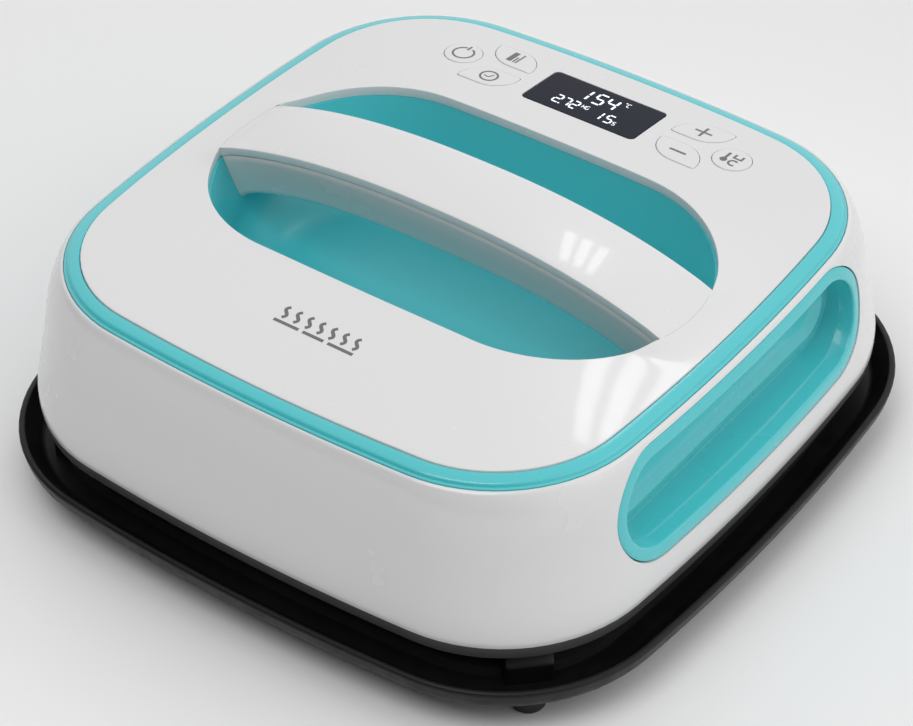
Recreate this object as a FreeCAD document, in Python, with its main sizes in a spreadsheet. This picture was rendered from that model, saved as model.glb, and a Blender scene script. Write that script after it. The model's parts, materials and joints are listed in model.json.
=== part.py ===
"""Portable heat press with its insulated safety base, as separate named pieces.

Frame: X to the right, Y to the back, Z up; the origin is on the table under the centre of the base.
All sizes are millimetres and live in the spreadsheet, which every feature reads.
"""
import FreeCAD, Part
import math
import os

import Sketcher
from FreeCAD import Placement, Rotation, Vector

doc = FreeCAD.newDocument("HeatPress")
sheet = doc.addObject("Spreadsheet::Sheet", "Sizes")

# An outline is five cells: half width, half depth, bow radius of the left/right sides,
# bow radius of the front/back sides, and corner radius.
OUTLINE_CELLS = ("hx", "hy", "bx", "by", "cr")
OUTLINES = {
    "lip": (154.2, 154.2, 950, 950, 73),        # rim of the safety tray
    "foot": (144.5, 144.5, 1000, 1000, 66.7),   # lower edge of the white shell
    "hip": (142.2, 142.2, 1000, 1000, 66.2),    # shell one third up
    "waist": (139.2, 139.2, 995, 995, 65.6),    # shell two thirds up
    "shoulder": (135.7, 135.7, 990, 990, 65.0),  # shell just under its top edge
    "brow": (133.3, 133.3, 985, 985, 64.5),     # shell's top edge
    "ring": (132.0, 132.0, 985, 985, 63.2),     # outer edge of the turquoise trim ring
    "plate": (125.1, 125.1, 880, 880, 55.0),    # edge of the white top cover
    "bowl": (110.2, 62.6, 70, 2290, 61.0),      # mouth of the hand recess
    "heat": (127.0, 127.0, 2400, 2400, 46.0),   # ten-inch heating plate
}
SIZES = {
    # heights above the table
    "z_tray": 11.0, "z_floor": 14.0, "z_tray_knee": 14.6, "z_lip": 22.6, "z_mat": 18.0,
    "z_rest": 27.0, "z_frame": 30.0, "z_shell": 36.0, "z_hip": 61.0, "z_waist": 81.0,
    "z_shoulder": 96.0, "z_brow": 101.0, "z_under_deck": 96.8, "z_deck": 99.8,
    "z_cover": 101.0, "z_bowl_floor": 63.0, "z_chassis": 57.2, "z_bed": 60.0,
    # safety base
    "lip_wall": 2.8, "tray_floor_inset": 9.0, "tray_knee_inset": 5.2, "mat_inset": 18.0,
    "foot_radius": 7.0, "foot_place": 116.5, "foot_hole": 2.2, "foot_recess": 4.2,
    "foot_recess_depth": 5.0, "foot_bevel": 1.0, "foot_seat": 2.4, "foot_head": 3.8,
    "foot_shank": 2.0, "foot_screw_top": 13.6, "mat_clearance": 10.0,
    "rest_reach": 117.6, "rest_width": 19.0, "rest_depth": 5.0, "rest_round": 1.5,
    # white shell and its bottom frame
    "wall": 2.8, "frame_inset": 1.0, "gap": 0.15, "heat_gap": 2.2, "deck_inset": 11.0,
    "corner_screw": 116.7, "boss_radius": 4.4, "boss_hole": 1.7, "screw_shank": 1.5,
    "screw_head": 2.2, "screw_head_web": 1.8, "bed_head": 1.8, "frame_screw": 14.0, "bed_screw": 12.0,
    # trim ring and top cover
    "ring_step": 1.4, "ring_edge": 0.9, "ring_slope": 1.7, "ring_rise": 1.6, "ring_crown": 2.8,
    "ring_flange_inset": 12.0, "ring_flange_web": 1.1, "cover_wall": 3.0, "dome_rise": 8.2,
    "z_plate": 104.25, "rim_wall": 2.6, "rim_drop": 4.5, "dome_depth": 100.0,
    # hand recess
    "liner_wall": 2.4, "liner_lean": 5.9, "bowl_turn": 8.1, "bowl_round": 24.9, "bowl_rise": 18.0,
    # handle
    "handle_width": 36.8, "handle_crown": 0.9, "handle_cap": 3.6, "handle_skin": 3.0,
    "handle_draft": 2.8, "handle_round": 7.0, "handle_length": 226.0, "seam": 0.3, "z_arch": 123.96,
    "arch_bow": 9.66, "arch_dive": 3.78, "arch_reach": 100.0, "z_heel": 99.72, "heel_bow": 5.68,
    "heel_dive": 5.19, "heel_reach": 90.0, "bar_width": 22.0, "bar_web": 3.0, "bar_drop": 9.0,
    "bar_length": 176.0, "handle_screw_x": 64.0, "handle_screw_seat": 1.0, "bore_cover": 1.2,
    "screw_cover": 1.6, "arch_half_span": 125.0, "arch_half_width": 22.0,
    # side grips
    "grip_z": 74.2, "grip_radius": 24.6, "grip_straight": 124.0, "grip_back": 120.0,
    "grip_reach": 40.0, "grip_bezel": 5.6, "grip_wall": 2.4, "grip_step": 8.3,
    "grip_step_depth": 5.6,
    # display and buttons
    "display_y": 95.7, "display_width": 56.0, "display_height": 27.4, "display_corner": 2.4,
    "display_glass": 1.6, "button_radius": 8.0, "button_x": 67.6, "button_y": 96.0,
    "leaf_x": 47.4, "leaf_upper_y": 106.3, "leaf_lower_y": 86.6, "leaf_width": 24.2,
    "leaf_height": 14.2, "leaf_round": 12.6, "leaf_point": 1.4, "button_gap": 0.3,
    "button_proud": 0.4, "button_flange": 0.9, "z_flange": 100.9, "flange_web": 1.1,
    "stem_radius": 1.5, "z_stem": 99.9, "switch_side": 6.0, "switch_tall": 3.0,
    "z_board": 94.4, "board_web": 1.6, "board_width": 164.0, "board_depth": 42.0,
    "lcd_width": 60.0, "lcd_height": 31.0, "lcd_tall": 6.6,
    # heating unit
    "plate_web": 12.0, "element_radius": 4.0, "element_span": 84.0, "element_pitch": 36.0,
    "element_depth": 6.0, "element_rise": 20.0, "pad_inset": 3.0, "pad_web": 12.0,
    "shield_web": 1.2, "spacer_place": 92.0, "spacer_radius": 6.0, "spacer_hole": 2.3,
    "spacer_length": 6.8, "cell_side": 30.0, "cell_tall": 7.2, "probe_radius": 2.5,
    "probe_length": 18.0, "fuse_radius": 2.0, "fuse_length": 12.0,
    # power board on the chassis
    "power_x": 12.0, "power_y": 98.0, "power_width": 96.0, "power_depth": 46.0,
    "power_stand": 6.0, "pillar_radius": 3.0, "pillar_inset": 5.0, "relay_length": 28.0,
    "relay_width": 12.5, "relay_tall": 16.0, "relay_shift": -28.0, "core_length": 30.0, "core_width": 26.0,
    "core_tall": 22.0, "core_shift": 6.0, "terminal_length": 16.0, "terminal_width": 12.0,
    "terminal_tall": 14.0, "terminal_shift": 34.0,
    "buzzer_radius": 6.0, "buzzer_tall": 8.0,
    # cord gland in the back wall
    "gland_x": -74.0, "gland_z": 74.0, "gland_radius": 7.0, "gland_flange": 10.0,
    "gland_bore": 4.1, "gland_flange_web": 2.5, "gland_length": 26.0, "gland_seat": 139.6,
    "gland_inner": 117.5,
}
SUB_PARTS = []


def fill_sheet():
    """Write every size into its own cell, with its alias."""
    cells = dict(SIZES)
    for name, values in OUTLINES.items():
        for key, value in zip(OUTLINE_CELLS, values):
            cells[f"{name}_{key}"] = value
    for row, (alias, value) in enumerate(cells.items(), start=1):
        sheet.set(f"A{row}", alias)
        sheet.set(f"B{row}", str(value))
        sheet.setAlias(f"B{row}", alias)
    doc.recompute()
    return cells


SIZE = fill_sheet()


def terms(cells):
    """Each term is a cell's name, the name with a leading minus, or (factor, name)."""
    for term in cells:
        if isinstance(term, tuple):
            yield term
        else:
            yield (-1.0, term[1:]) if term[0] == "-" else (1.0, term)


def total(cells):
    """The sum of some terms."""
    return sum(factor * SIZE[name] for factor, name in terms(cells))


def formula(cells):
    """The same sum as an expression on the sheet."""
    return " + ".join(f"{factor:.6f} * Sizes.{name}" for factor, name in terms(cells)) or "0"


def bind(thing, **expressions):
    """Bind properties of an object to expressions on the sheet."""
    for name, expression in expressions.items():
        thing.setExpression(name, expression)
    return thing


def sub_part(thing, label):
    """Give a finished piece the name of its node."""
    thing.Label = label
    SUB_PARTS.append(thing)
    return thing


def place(thing, x=0.0, y=0.0, z=0.0, rotation=None):
    thing.Placement = Placement(Vector(x, y, z), rotation or Rotation())
    return thing


# ---------------------------------------------------------------- sketches

def datum(sketch, expression, *constraint):
    """Add a dimension to a sketch and bind it to the sheet."""
    index = sketch.addConstraint(Sketcher.Constraint(*constraint))
    sketch.setExpression(f"Constraints[{index}]", expression)


def arc(centre, radius, start, end):
    return Part.ArcOfCircle(Part.Circle(centre, Vector(0, 0, 1), radius), start, end)


def corner_centre(half_x, half_y, bow_x, bow_y, corner):
    """Where the corner arc's centre lies, tangent inside both side arcs."""
    top = Vector(0, half_y - bow_y, 0)
    right = Vector(half_x - bow_x, 0, 0)
    from_top, from_right = bow_y - corner, bow_x - corner
    span = right - top
    along = (from_top ** 2 - from_right ** 2 + span.Length ** 2) / (2 * span.Length)
    across = math.sqrt(from_top ** 2 - along ** 2)
    unit = Vector(span).normalize()
    return top + unit * along + Vector(unit.y, -unit.x, 0) * across


def outline(name, base, inset=(), level=()):
    """A closed outline with four bowed sides and four round corners, drawn inside its base by inset."""
    bow_in = total(inset)
    hx, hy, bx, by, cr = (SIZE[f"{base}_{key}"] - bow_in for key in OUTLINE_CELLS)
    sketch = doc.addObject("Sketcher::SketchObject", name)
    corner = corner_centre(hx, hy, bx, by, cr)
    right, top = Vector(hx - bx, 0, 0), Vector(0, hy - by, 0)
    low = math.atan2(corner.y - right.y, corner.x - right.x)
    high = math.atan2(corner.y - top.y, corner.x - top.x)
    pi = math.pi
    sketch.addGeometry([
        arc(right, bx, -low, low),
        arc(corner, cr, low, high),
        arc(top, by, high, pi - high),
        arc(Vector(-corner.x, corner.y, 0), cr, pi - high, pi - low),
        arc(right * -1, bx, pi - low, pi + low),
        arc(corner * -1, cr, pi + low, pi + high),
        arc(top * -1, by, pi + high, 2 * pi - high),
        arc(Vector(corner.x, -corner.y, 0), cr, -high, -low),
    ], False)
    for side in range(8):
        sketch.addConstraint(Sketcher.Constraint("Tangent", side, 2, (side + 1) % 8, 1))
    inset_formula = formula(inset)
    for side, axis, key in ((0, -1, "bx"), (4, -1, "bx"), (2, -2, "by"), (6, -2, "by")):
        sketch.addConstraint(Sketcher.Constraint("PointOnObject", side, 3, axis))
        datum(sketch, f"Sizes.{base}_{key} - ({inset_formula})", "Radius", side,
              SIZE[f"{base}_{key}"] - bow_in)
    for side in (3, 5, 7):
        sketch.addConstraint(Sketcher.Constraint("Equal", 1, side))
    datum(sketch, f"Sizes.{base}_cr - ({inset_formula})", "Radius", 1, cr)
    off_y = f"Sizes.{base}_by - Sizes.{base}_hy"
    if bx > hx:
        off_x = f"Sizes.{base}_bx - Sizes.{base}_hx"
        datum(sketch, off_x, "DistanceX", 0, 3, -1, 1, bx - hx)
        datum(sketch, off_x, "DistanceX", -1, 1, 4, 3, bx - hx)
    else:
        off_x = f"Sizes.{base}_hx - Sizes.{base}_bx"
        datum(sketch, off_x, "DistanceX", -1, 1, 0, 3, hx - bx)
        datum(sketch, off_x, "DistanceX", 4, 3, -1, 1, hx - bx)
    datum(sketch, off_y, "DistanceY", 2, 3, -1, 1, by - hy)
    datum(sketch, off_y, "DistanceY", -1, 1, 6, 3, by - hy)
    place(sketch, z=total(level))
    sketch.setExpression("Placement.Base.z", formula(level))
    return sketch


def rounded(name, width, height, corners, grow=(), level=()):
    """A rectangle centred on the origin; corners names its four radii from upper right, anticlockwise."""
    sketch = doc.addObject("Sketcher::SketchObject", name)
    extra = total(grow)
    extra_formula = formula(grow)
    a, b = SIZE[width] / 2 + extra, SIZE[height] / 2 + extra
    radii = [SIZE[c] + extra for c in corners]
    ur, ul, ll, lr = radii
    pi = math.pi
    line = Part.LineSegment
    sketch.addGeometry([
        line(Vector(a, -b + lr, 0), Vector(a, b - ur, 0)),
        arc(Vector(a - ur, b - ur, 0), ur, 0, pi / 2),
        line(Vector(a - ur, b, 0), Vector(-a + ul, b, 0)),
        arc(Vector(-a + ul, b - ul, 0), ul, pi / 2, pi),
        line(Vector(-a, b - ul, 0), Vector(-a, -b + ll, 0)),
        arc(Vector(-a + ll, -b + ll, 0), ll, pi, 1.5 * pi),
        line(Vector(-a + ll, -b, 0), Vector(a - lr, -b, 0)),
        arc(Vector(a - lr, -b + lr, 0), lr, 1.5 * pi, 2 * pi),
    ], False)
    for side in range(8):
        sketch.addConstraint(Sketcher.Constraint("Tangent", side, 2, (side + 1) % 8, 1))
    for side, turn in ((0, "Vertical"), (4, "Vertical"), (2, "Horizontal"), (6, "Horizontal")):
        sketch.addConstraint(Sketcher.Constraint(turn, side))
    for side, corner, radius in zip((1, 3, 5, 7), corners, radii):
        datum(sketch, f"Sizes.{corner} + ({extra_formula})", "Radius", side, radius)
    half_width = f"Sizes.{width} / 2 + ({extra_formula})"
    half_height = f"Sizes.{height} / 2 + ({extra_formula})"
    datum(sketch, half_width, "DistanceX", -1, 1, 0, 1, a)
    datum(sketch, half_width, "DistanceX", 4, 1, -1, 1, a)
    datum(sketch, half_height, "DistanceY", -1, 1, 2, 1, b)
    datum(sketch, half_height, "DistanceY", 6, 1, -1, 1, b)
    place(sketch, z=total(level))
    sketch.setExpression("Placement.Base.z", formula(level))
    return sketch


# ---------------------------------------------------------------- solids

def prism(name, sketch, height):
    """A sketch pushed along its own normal; height is a list of cells."""
    solid = doc.addObject("Part::Extrusion", name)
    solid.Base = sketch
    solid.DirMode = "Normal"
    solid.Solid = True
    return bind(solid, LengthFwd=formula(height))


def loft(name, sections, ruled=False):
    solid = doc.addObject("Part::Loft", name)
    solid.Sections = sections
    solid.Solid = True
    solid.Ruled = ruled
    return solid


def cut(name, base, tool):
    solid = doc.addObject("Part::Cut", name)
    solid.Base, solid.Tool = base, tool
    return solid


def common(name, one, other):
    solid = doc.addObject("Part::Common", name)
    solid.Base, solid.Tool = one, other
    return solid


def fuse(name, shapes):
    solid = doc.addObject("Part::MultiFuse", name)
    solid.Shapes = shapes
    return solid


def group(name, members):
    solid = doc.addObject("Part::Compound", name)
    solid.Links = members
    return solid


def mirror(name, source, normal):
    copy = doc.addObject("Part::Mirroring", name)
    copy.Source = source
    copy.Normal = normal
    return copy


def at_four_corners(name, piece):
    """The piece and its three mirror images, as separate solids of one group."""
    pair = group(f"{name}_pair", [piece, mirror(f"{name}_across", piece, Vector(1, 0, 0))])
    return group(name, [pair, mirror(f"{name}_behind", pair, Vector(0, 1, 0))])


def cylinder(name, radius, height, x=0.0, y=0.0, z=0.0, rotation=None):
    """A cylinder whose radius and height are lists of cells."""
    solid = doc.addObject("Part::Cylinder", name)
    bind(solid, Radius=formula(radius), Height=formula(height))
    return place(solid, x, y, z, rotation)


def box(name, length, width, height, x=0.0, y=0.0, z=0.0):
    """A box, each side a list of cells, centred on x and y and standing on z."""
    solid = doc.addObject("Part::Box", name)
    bind(solid, Length=formula(length), Width=formula(width), Height=formula(height))
    return place(solid, x - total(length) / 2, y - total(width) / 2, z)


def turned(name, profile):
    """A body of revolution about its own Z. profile is (radius cells, height cells) round the section."""
    body = doc.addObject("PartDesign::Body", name)
    plane = next(o for o in body.Origin.OriginFeatures if o.Role == "XZ_Plane")
    sketch = body.newObject("Sketcher::SketchObject", f"{name}_profile")
    sketch.AttachmentSupport = (plane, [""])
    sketch.MapMode = "FlatFace"
    points = [Vector(total(r), total(z), 0) for r, z in profile]
    count = len(points)
    for i, point in enumerate(points):
        sketch.addGeometry(Part.LineSegment(point, points[(i + 1) % count]), False)
    for i in range(count):
        sketch.addConstraint(Sketcher.Constraint("Coincident", i, 2, (i + 1) % count, 1))
    for i, (radius, height) in enumerate(profile):
        for cells, kind, axis, value in ((radius, "DistanceX", -2, points[i].x),
                                         (height, "DistanceY", -1, points[i].y)):
            if abs(value) < 1e-9:
                sketch.addConstraint(Sketcher.Constraint("PointOnObject", i, 1, axis))
            elif value > 0:
                datum(sketch, formula(cells), kind, -1, 1, i, 1, value)
            else:
                datum(sketch, f"-({formula(cells)})", kind, i, 1, -1, 1, -value)
    revolution = body.newObject("PartDesign::Revolution", f"{name}_turned")
    revolution.Profile = sketch
    revolution.ReferenceAxis = (sketch, ["V_Axis"])
    revolution.Angle = 360
    return body


def raw(name, shape):
    """A piece whose shape is made with Part's own functions."""
    solid = doc.addObject("Part::Feature", name)
    solid.Shape = shape
    return solid


# ---------------------------------------------------------------- crowned surfaces

DOME_POWER = 4.6
SPAN_STEPS = 28
MIRROR_X, MIRROR_Y = Vector(1, 0, 0), Vector(0, 1, 0)
ALONG_X, ALONG_Y = Rotation(Vector(0, 1, 0), 90), Rotation(Vector(1, 0, 0), -90)


def dome(x, y):
    """Height of the top cover: highest in the middle and level along its edge."""
    across = (abs(x) / SIZE["plate_hx"]) ** DOME_POWER
    along = (abs(y) / SIZE["plate_hy"]) ** DOME_POWER
    share = (across + along) ** (1 / DOME_POWER)
    return SIZE["z_plate"] + SIZE["dome_rise"] * (1 - share ** 2)


def arch(x, y):
    """Height of the handle's top, with a slight crown across its width."""
    u = x / SIZE["arch_reach"]
    across = 1 - (2 * y / SIZE["handle_width"]) ** 2
    return SIZE["z_arch"] - SIZE["arch_bow"] * u ** 2 - SIZE["arch_dive"] * u ** 4 + \
        SIZE["handle_crown"] * max(across, -1)


def arch_edge(x, y):
    """The handle's top without its crown."""
    return arch(x, SIZE["handle_width"] / 2)


def heel(x, y):
    """Height of the handle's underside."""
    v = x / SIZE["heel_reach"]
    return SIZE["z_heel"] - SIZE["heel_bow"] * v ** 2 - SIZE["heel_dive"] * v ** 4


def under(name, height, lower=0.0, span_x=140.0, span_y=140.0, depth=90.0):
    """Everything under a surface given by its height, moved down by lower, for depth."""
    shares = [2 * i / SPAN_STEPS - 1 for i in range(SPAN_STEPS + 1)]
    surface = Part.BSplineSurface()
    surface.interpolate([[Vector(u * span_x, v * span_y, height(u * span_x, v * span_y) - lower)
                          for v in shares] for u in shares])
    return raw(name, surface.toShape().extrude(Vector(0, 0, -depth)))


# ---------------------------------------------------------------- safety base

def make_tray():
    outer = loft("tray_outside", [
        outline("tray_bottom", "lip", ("tray_floor_inset",), ("z_tray",)),
        outline("tray_knee", "lip", ("tray_knee_inset",), ("z_tray_knee",)),
        outline("tray_lip", "lip", (), ("z_lip",)),
    ])
    inner = loft("tray_inside", [
        outline("tray_floor", "lip", ("tray_floor_inset",), ("z_floor",)),
        outline("tray_lip_inside", "lip", ("lip_wall",), ("z_lip",)),
    ], ruled=True)
    hole = cylinder("tray_screw_hole", ("foot_hole",), ("z_lip",), SIZE["foot_place"], SIZE["foot_place"])
    dish = cut("tray_dish", outer, inner)
    sub_part(cut("tray", dish, at_four_corners("tray_screw_holes", hole)), "safety_tray")


def make_mat():
    mat = prism("mat_blank", outline("mat_outline", "lip", ("mat_inset",), ("z_floor",)),
                ("z_mat", "-z_floor"))
    notch = cylinder("mat_notch", ("mat_clearance",), ("z_mat",), SIZE["foot_place"], SIZE["foot_place"])
    sub_part(cut("mat", mat, at_four_corners("mat_notches", notch)), "heat_mat")


def make_rests():
    """Four upright blades in the tray's corners that centre the heating plate."""
    post = box("rest_post", ("rest_depth",), ("rest_width",), ("z_rest", "-z_floor"))
    turn = Rotation(Vector(0, 0, 1), 45)
    shift = turn.multVec(post.Placement.Base)
    place(post, SIZE["rest_reach"] + shift.x, SIZE["rest_reach"] + shift.y, SIZE["z_floor"], turn)
    doc.recompute()
    upright = [(i + 1, SIZE["rest_round"], SIZE["rest_round"]) for i, e in enumerate(post.Shape.Edges)
               if abs(e.Vertexes[0].Z - e.Vertexes[1].Z) > 1]
    soft = doc.addObject("Part::Fillet", "rest_rounded")
    soft.Base = post
    soft.Edges = upright
    sub_part(at_four_corners("rests", soft), "corner_rests")


def make_feet():
    foot = turned("foot_rubber", [
        (("foot_hole",), ("foot_recess_depth",)), (("foot_recess",), ("foot_recess_depth",)),
        (("foot_recess",), ()), (("foot_radius", "-foot_bevel"), ()),
        (("foot_radius",), ("foot_bevel",)), (("foot_radius",), ("z_tray",)),
        (("foot_hole",), ("z_tray",)),
    ])
    place(foot, SIZE["foot_place"], SIZE["foot_place"])
    sub_part(at_four_corners("feet_rubber", foot), "rubber_feet")
    screw = turned("foot_screw", [
        ((), ("foot_seat",)), (("foot_head",), ("foot_seat",)),
        (("foot_head",), ("foot_recess_depth",)), (("foot_shank",), ("foot_recess_depth",)),
        (("foot_shank",), ("foot_screw_top",)), ((), ("foot_screw_top",)),
    ])
    place(screw, SIZE["foot_place"], SIZE["foot_place"])
    sub_part(at_four_corners("feet_screws", screw), "foot_screws")


# ---------------------------------------------------------------- shell and bottom frame

SHELL_LEVELS = (("foot", "z_shell"), ("hip", "z_hip"), ("waist", "z_waist"), ("shoulder", "z_shoulder"),
                ("brow", "z_brow"))


def shell_form(name, inset=()):
    """The flared white body as one solid, drawn inside its outer face by inset."""
    sections = [outline(f"{name}_{base}", base, inset, (level,)) for base, level in SHELL_LEVELS]
    return loft(name, sections)


def stadium(name, radius, start, length):
    """A rounded slot on the right side, lying along Y and cut along X from start for length."""
    half = SIZE["grip_straight"] / 2
    x, z = total(start), SIZE["grip_z"]
    ends = [cylinder(f"{name}_{tag}", radius, length, x, side * half, z, ALONG_X)
            for tag, side in (("front", -1), ("back", 1))]
    middle = box(f"{name}_middle", length, ("grip_straight",),
                 [(2 * factor, cell) for factor, cell in terms(radius)])
    place(middle, x, -half, z - total(radius))
    return fuse(name, ends + [middle])


def both_sides(name, piece):
    return group(name, [piece, mirror(f"{name}_left", piece, MIRROR_X)])


def make_shell():
    grip_hole = stadium("grip_hole", ("grip_radius", "gap"), ("grip_back", "-gap"), ("grip_reach",))
    outer = shell_form("shell_outside")
    inner_sides = shell_form("shell_inside", ("wall",))
    seat = prism("ring_seat", outline("seat_outline", "ring", ("-gap",), ("z_deck",)), ("z_shell",))
    open_shell = cut("shell_open", cut("shell_seated", outer, seat), inner_sides)
    boss = cylinder("shell_boss", ("boss_radius",), ("z_chassis", "-z_shell"),
                    SIZE["corner_screw"], SIZE["corner_screw"], SIZE["z_shell"])
    boss_hole = cylinder("shell_boss_hole", ("boss_hole",), ("z_chassis",),
                         SIZE["corner_screw"], SIZE["corner_screw"])
    gland_hole = cylinder("gland_hole", ("gland_radius", "gap"), ("z_hip",),
                          SIZE["gland_x"], SIZE["gland_inner"], SIZE["gland_z"], ALONG_Y)
    solid = fuse("shell_with_bosses", [open_shell, at_four_corners("shell_bosses", boss)])
    holes = fuse("shell_holes", [grip_hole, mirror("grip_hole_left", grip_hole, MIRROR_X), gland_hole])
    bored = cut("shell_bored", solid, at_four_corners("shell_boss_holes", boss_hole))
    sub_part(cut("shell", bored, holes), "body_shell")
    deck = prism("deck_blank", outline("deck_outline", "brow", ("wall", "gap"), ("z_under_deck",)),
                 ("z_deck", "-z_under_deck"))
    well = prism("deck_well", outline("well_outline", "ring", ("deck_inset",), ("z_shell",)), ("z_arch",))
    deck_clear = both_sides("deck_clears", stadium("deck_clear", ("grip_radius", "gap"),
                                                   ("grip_back", "-gap"), ("grip_reach",)))
    sub_part(cut("deck", cut("deck_ring", deck, well), deck_clear), "deck_frame")
    return outer


def make_bottom_frame():
    blank = prism("frame_blank", outline("frame_outline", "foot", ("frame_inset",), ("z_frame",)),
                  ("z_shell", "-z_frame"))
    window = prism("frame_window", outline("frame_inner", "heat", ("-heat_gap",)), ("z_shell",))
    at = SIZE["corner_screw"]
    hole = cylinder("frame_hole", ("boss_hole",), ("z_shell",), at, at)
    recess = cylinder("frame_recess", ("screw_head", "gap"), ("screw_head_web",), at, at, SIZE["z_frame"])
    holes = at_four_corners("frame_holes", fuse("frame_bore", [hole, recess]))
    sub_part(cut("frame", cut("frame_ring", blank, window), holes), "bottom_frame")
    shank = cylinder("frame_screw_shank", ("screw_shank",), ("frame_screw",), at, at, SIZE["z_frame"])
    head = cylinder("frame_screw_head", ("screw_head",), ("screw_head_web",), at, at, SIZE["z_frame"])
    sub_part(at_four_corners("frame_screws", fuse("frame_screw_one", [shank, head])), "bottom_frame_screws")


def make_side_grips(outer):
    """A turquoise finger cup in each side, its bezel flush with the flared shell."""
    block = stadium("grip_block", ("grip_radius",), ("grip_back",), ("grip_reach",))
    flush = common("grip_flush", block, outer)
    deep = stadium("grip_deep", ("grip_radius", "-grip_bezel", "-grip_step"),
                   ("grip_back", "grip_wall"), ("grip_reach",))
    wide = stadium("grip_wide", ("grip_radius", "-grip_bezel"),
                   ("grip_back", "grip_step_depth"), ("grip_reach",))
    cup = cut("grip", flush, fuse("grip_cup", [deep, wide]))
    sub_part(cup, "side_grip_right")
    sub_part(mirror("grip_other", cup, MIRROR_X), "side_grip_left")


# ---------------------------------------------------------------- trim ring, top cover, handle

def make_trim_ring():
    base = prism("ring_base", outline("ring_base_outline", "ring", (), ("z_deck",)), ("ring_step",))
    crest = loft("ring_crest", [
        outline("ring_foot", "ring", ("ring_edge",), ("z_deck", "ring_step")),
        outline("ring_side", "ring", ("ring_edge", (0.3, "ring_slope")),
                ("z_deck", "ring_step", "ring_rise")),
        outline("ring_top", "ring", ("ring_edge", (2.0, "ring_slope")),
                ("z_deck", "ring_step", "ring_crown")),
    ], ruled=True)
    opening = prism("ring_opening", outline("ring_opening_outline", "plate", ("-gap",),
                                            ("z_deck", "ring_flange_web")), ("z_deck",))
    bore = prism("ring_bore", outline("ring_bore_outline", "ring", ("ring_flange_inset",)), ("z_arch",))
    ring = cut("ring_body", fuse("ring_blank", [base, crest]), fuse("ring_void", [opening, bore]))
    sub_part(ring, "trim_ring")


def bowl_prism(name, grow=()):
    return prism(name, outline(f"{name}_outline", "bowl", grow, ("z_chassis",)), ("z_arch",))


def button_shapes(name, grow=()):
    """The six button outlines as upright prisms: node name to prism."""
    up = ("z_waist",)
    level = ("z_flange",)
    blunt, point = "leaf_round", "leaf_point"
    leaves = {
        "button_preset": (-1, "leaf_upper_y", (blunt, point, blunt, point)),
        "button_timer": (-1, "leaf_lower_y", (point, blunt, point, blunt)),
        "button_plus": (1, "leaf_upper_y", (point, blunt, point, blunt)),
        "button_minus": (1, "leaf_lower_y", (blunt, point, blunt, point)),
    }
    shapes = {}
    for node, (side, row, corners) in leaves.items():
        sketch = rounded(f"{name}_{node}_outline", "leaf_width", "leaf_height", corners, grow, level)
        place(sketch, side * SIZE["leaf_x"], SIZE[row], SIZE["z_flange"])
        sketch.setExpression("Placement.Base.z", formula(level))
        shapes[node] = prism(f"{name}_{node}", sketch, up)
    for node, side in (("button_power", -1), ("button_unit", 1)):
        shapes[node] = cylinder(f"{name}_{node}", ("button_radius",) + tuple(grow), up,
                                side * SIZE["button_x"], SIZE["button_y"], SIZE["z_flange"])
    return shapes


def display_prism(name, grow=(), level=("z_flange",)):
    sketch = rounded(f"{name}_outline", "display_width", "display_height", ("display_corner",) * 4,
                     grow, level)
    place(sketch, 0, SIZE["display_y"], total(level))
    sketch.setExpression("Placement.Base.z", formula(level))
    return prism(name, sketch, ("z_waist",))


def make_top_cover():
    """Crowned white plate with the rim of the hand recess and the upper half of the handle."""
    skin = dome_skin("cover_skin", "cover_wall")
    skirt = cut("cover_skirt",
                prism("skirt_blank", outline("skirt_outline", "plate", (), ("z_cover",)), ("z_arch",)),
                prism("skirt_room", outline("skirt_inside", "plate", ("cover_wall",), ("z_cover",)),
                      ("z_arch",)))
    above = under("dome_full", dome)
    edge = prism("cover_edge", outline("cover_outline", "plate", (), ("z_cover",)), ("z_arch",))
    panel = common("cover_panel", fuse("cover_sheet", [skin, common("cover_side", skirt, above)]), edge)
    rim = common("cover_rim", dome_skin("rim_skin", "rim_drop"), bowl_prism("rim_blank", ("-rim_wall",)))
    plate = cut("cover_plate", fuse("cover_rimmed", [panel, rim]), bowl_prism("cover_mouth"))
    cap = handle_slice("handle_cap_form", ("handle_width",))
    cap_low = under("cap_low", arch_edge, SIZE["handle_cap"], span_x=SIZE["arch_half_span"])
    cap_part = common("handle_cap_shape", cut("cap_arch", cap, cap_low), edge)
    holes = list(button_shapes("hole", ("button_gap",)).values()) + [display_prism("hole_display", ("gap",))]
    whole = fuse("cover_whole", [plate, cap_part])
    pierced = cut("cover_pierced", whole, fuse("cover_holes", holes))
    sub_part(cut("cover", pierced, screw_holes("cap")), "top_cover")


def dome_skin(name, thickness):
    """The crowned top as a sheet."""
    below = under(f"{name}_below", dome, SIZE[thickness], depth=SIZE["dome_depth"])
    return cut(name, under(f"{name}_over", dome), below)


def handle_slice(name, width):
    """The handle's arch as one long block, open to the table."""
    block = box(f"{name}_block", ("handle_length",), width, ("z_arch",), z=SIZE["z_hip"])
    crowned = under(f"{name}_arch", arch, span_x=SIZE["arch_half_span"], span_y=SIZE["arch_half_width"])
    return common(name, block, crowned)


def screw_holes(name):
    """Bores for the four handle screws."""
    bore = cylinder(f"{name}_bore", ("boss_hole",), ("z_hip",), SIZE["handle_screw_x"], 0, SIZE["z_hip"])
    reach = under(f"{name}_reach", arch_edge, SIZE["bore_cover"], span_x=SIZE["arch_half_span"])
    short = common(f"{name}_short", bore, reach)
    return both_sides(f"{name}_bores", short)


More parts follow.
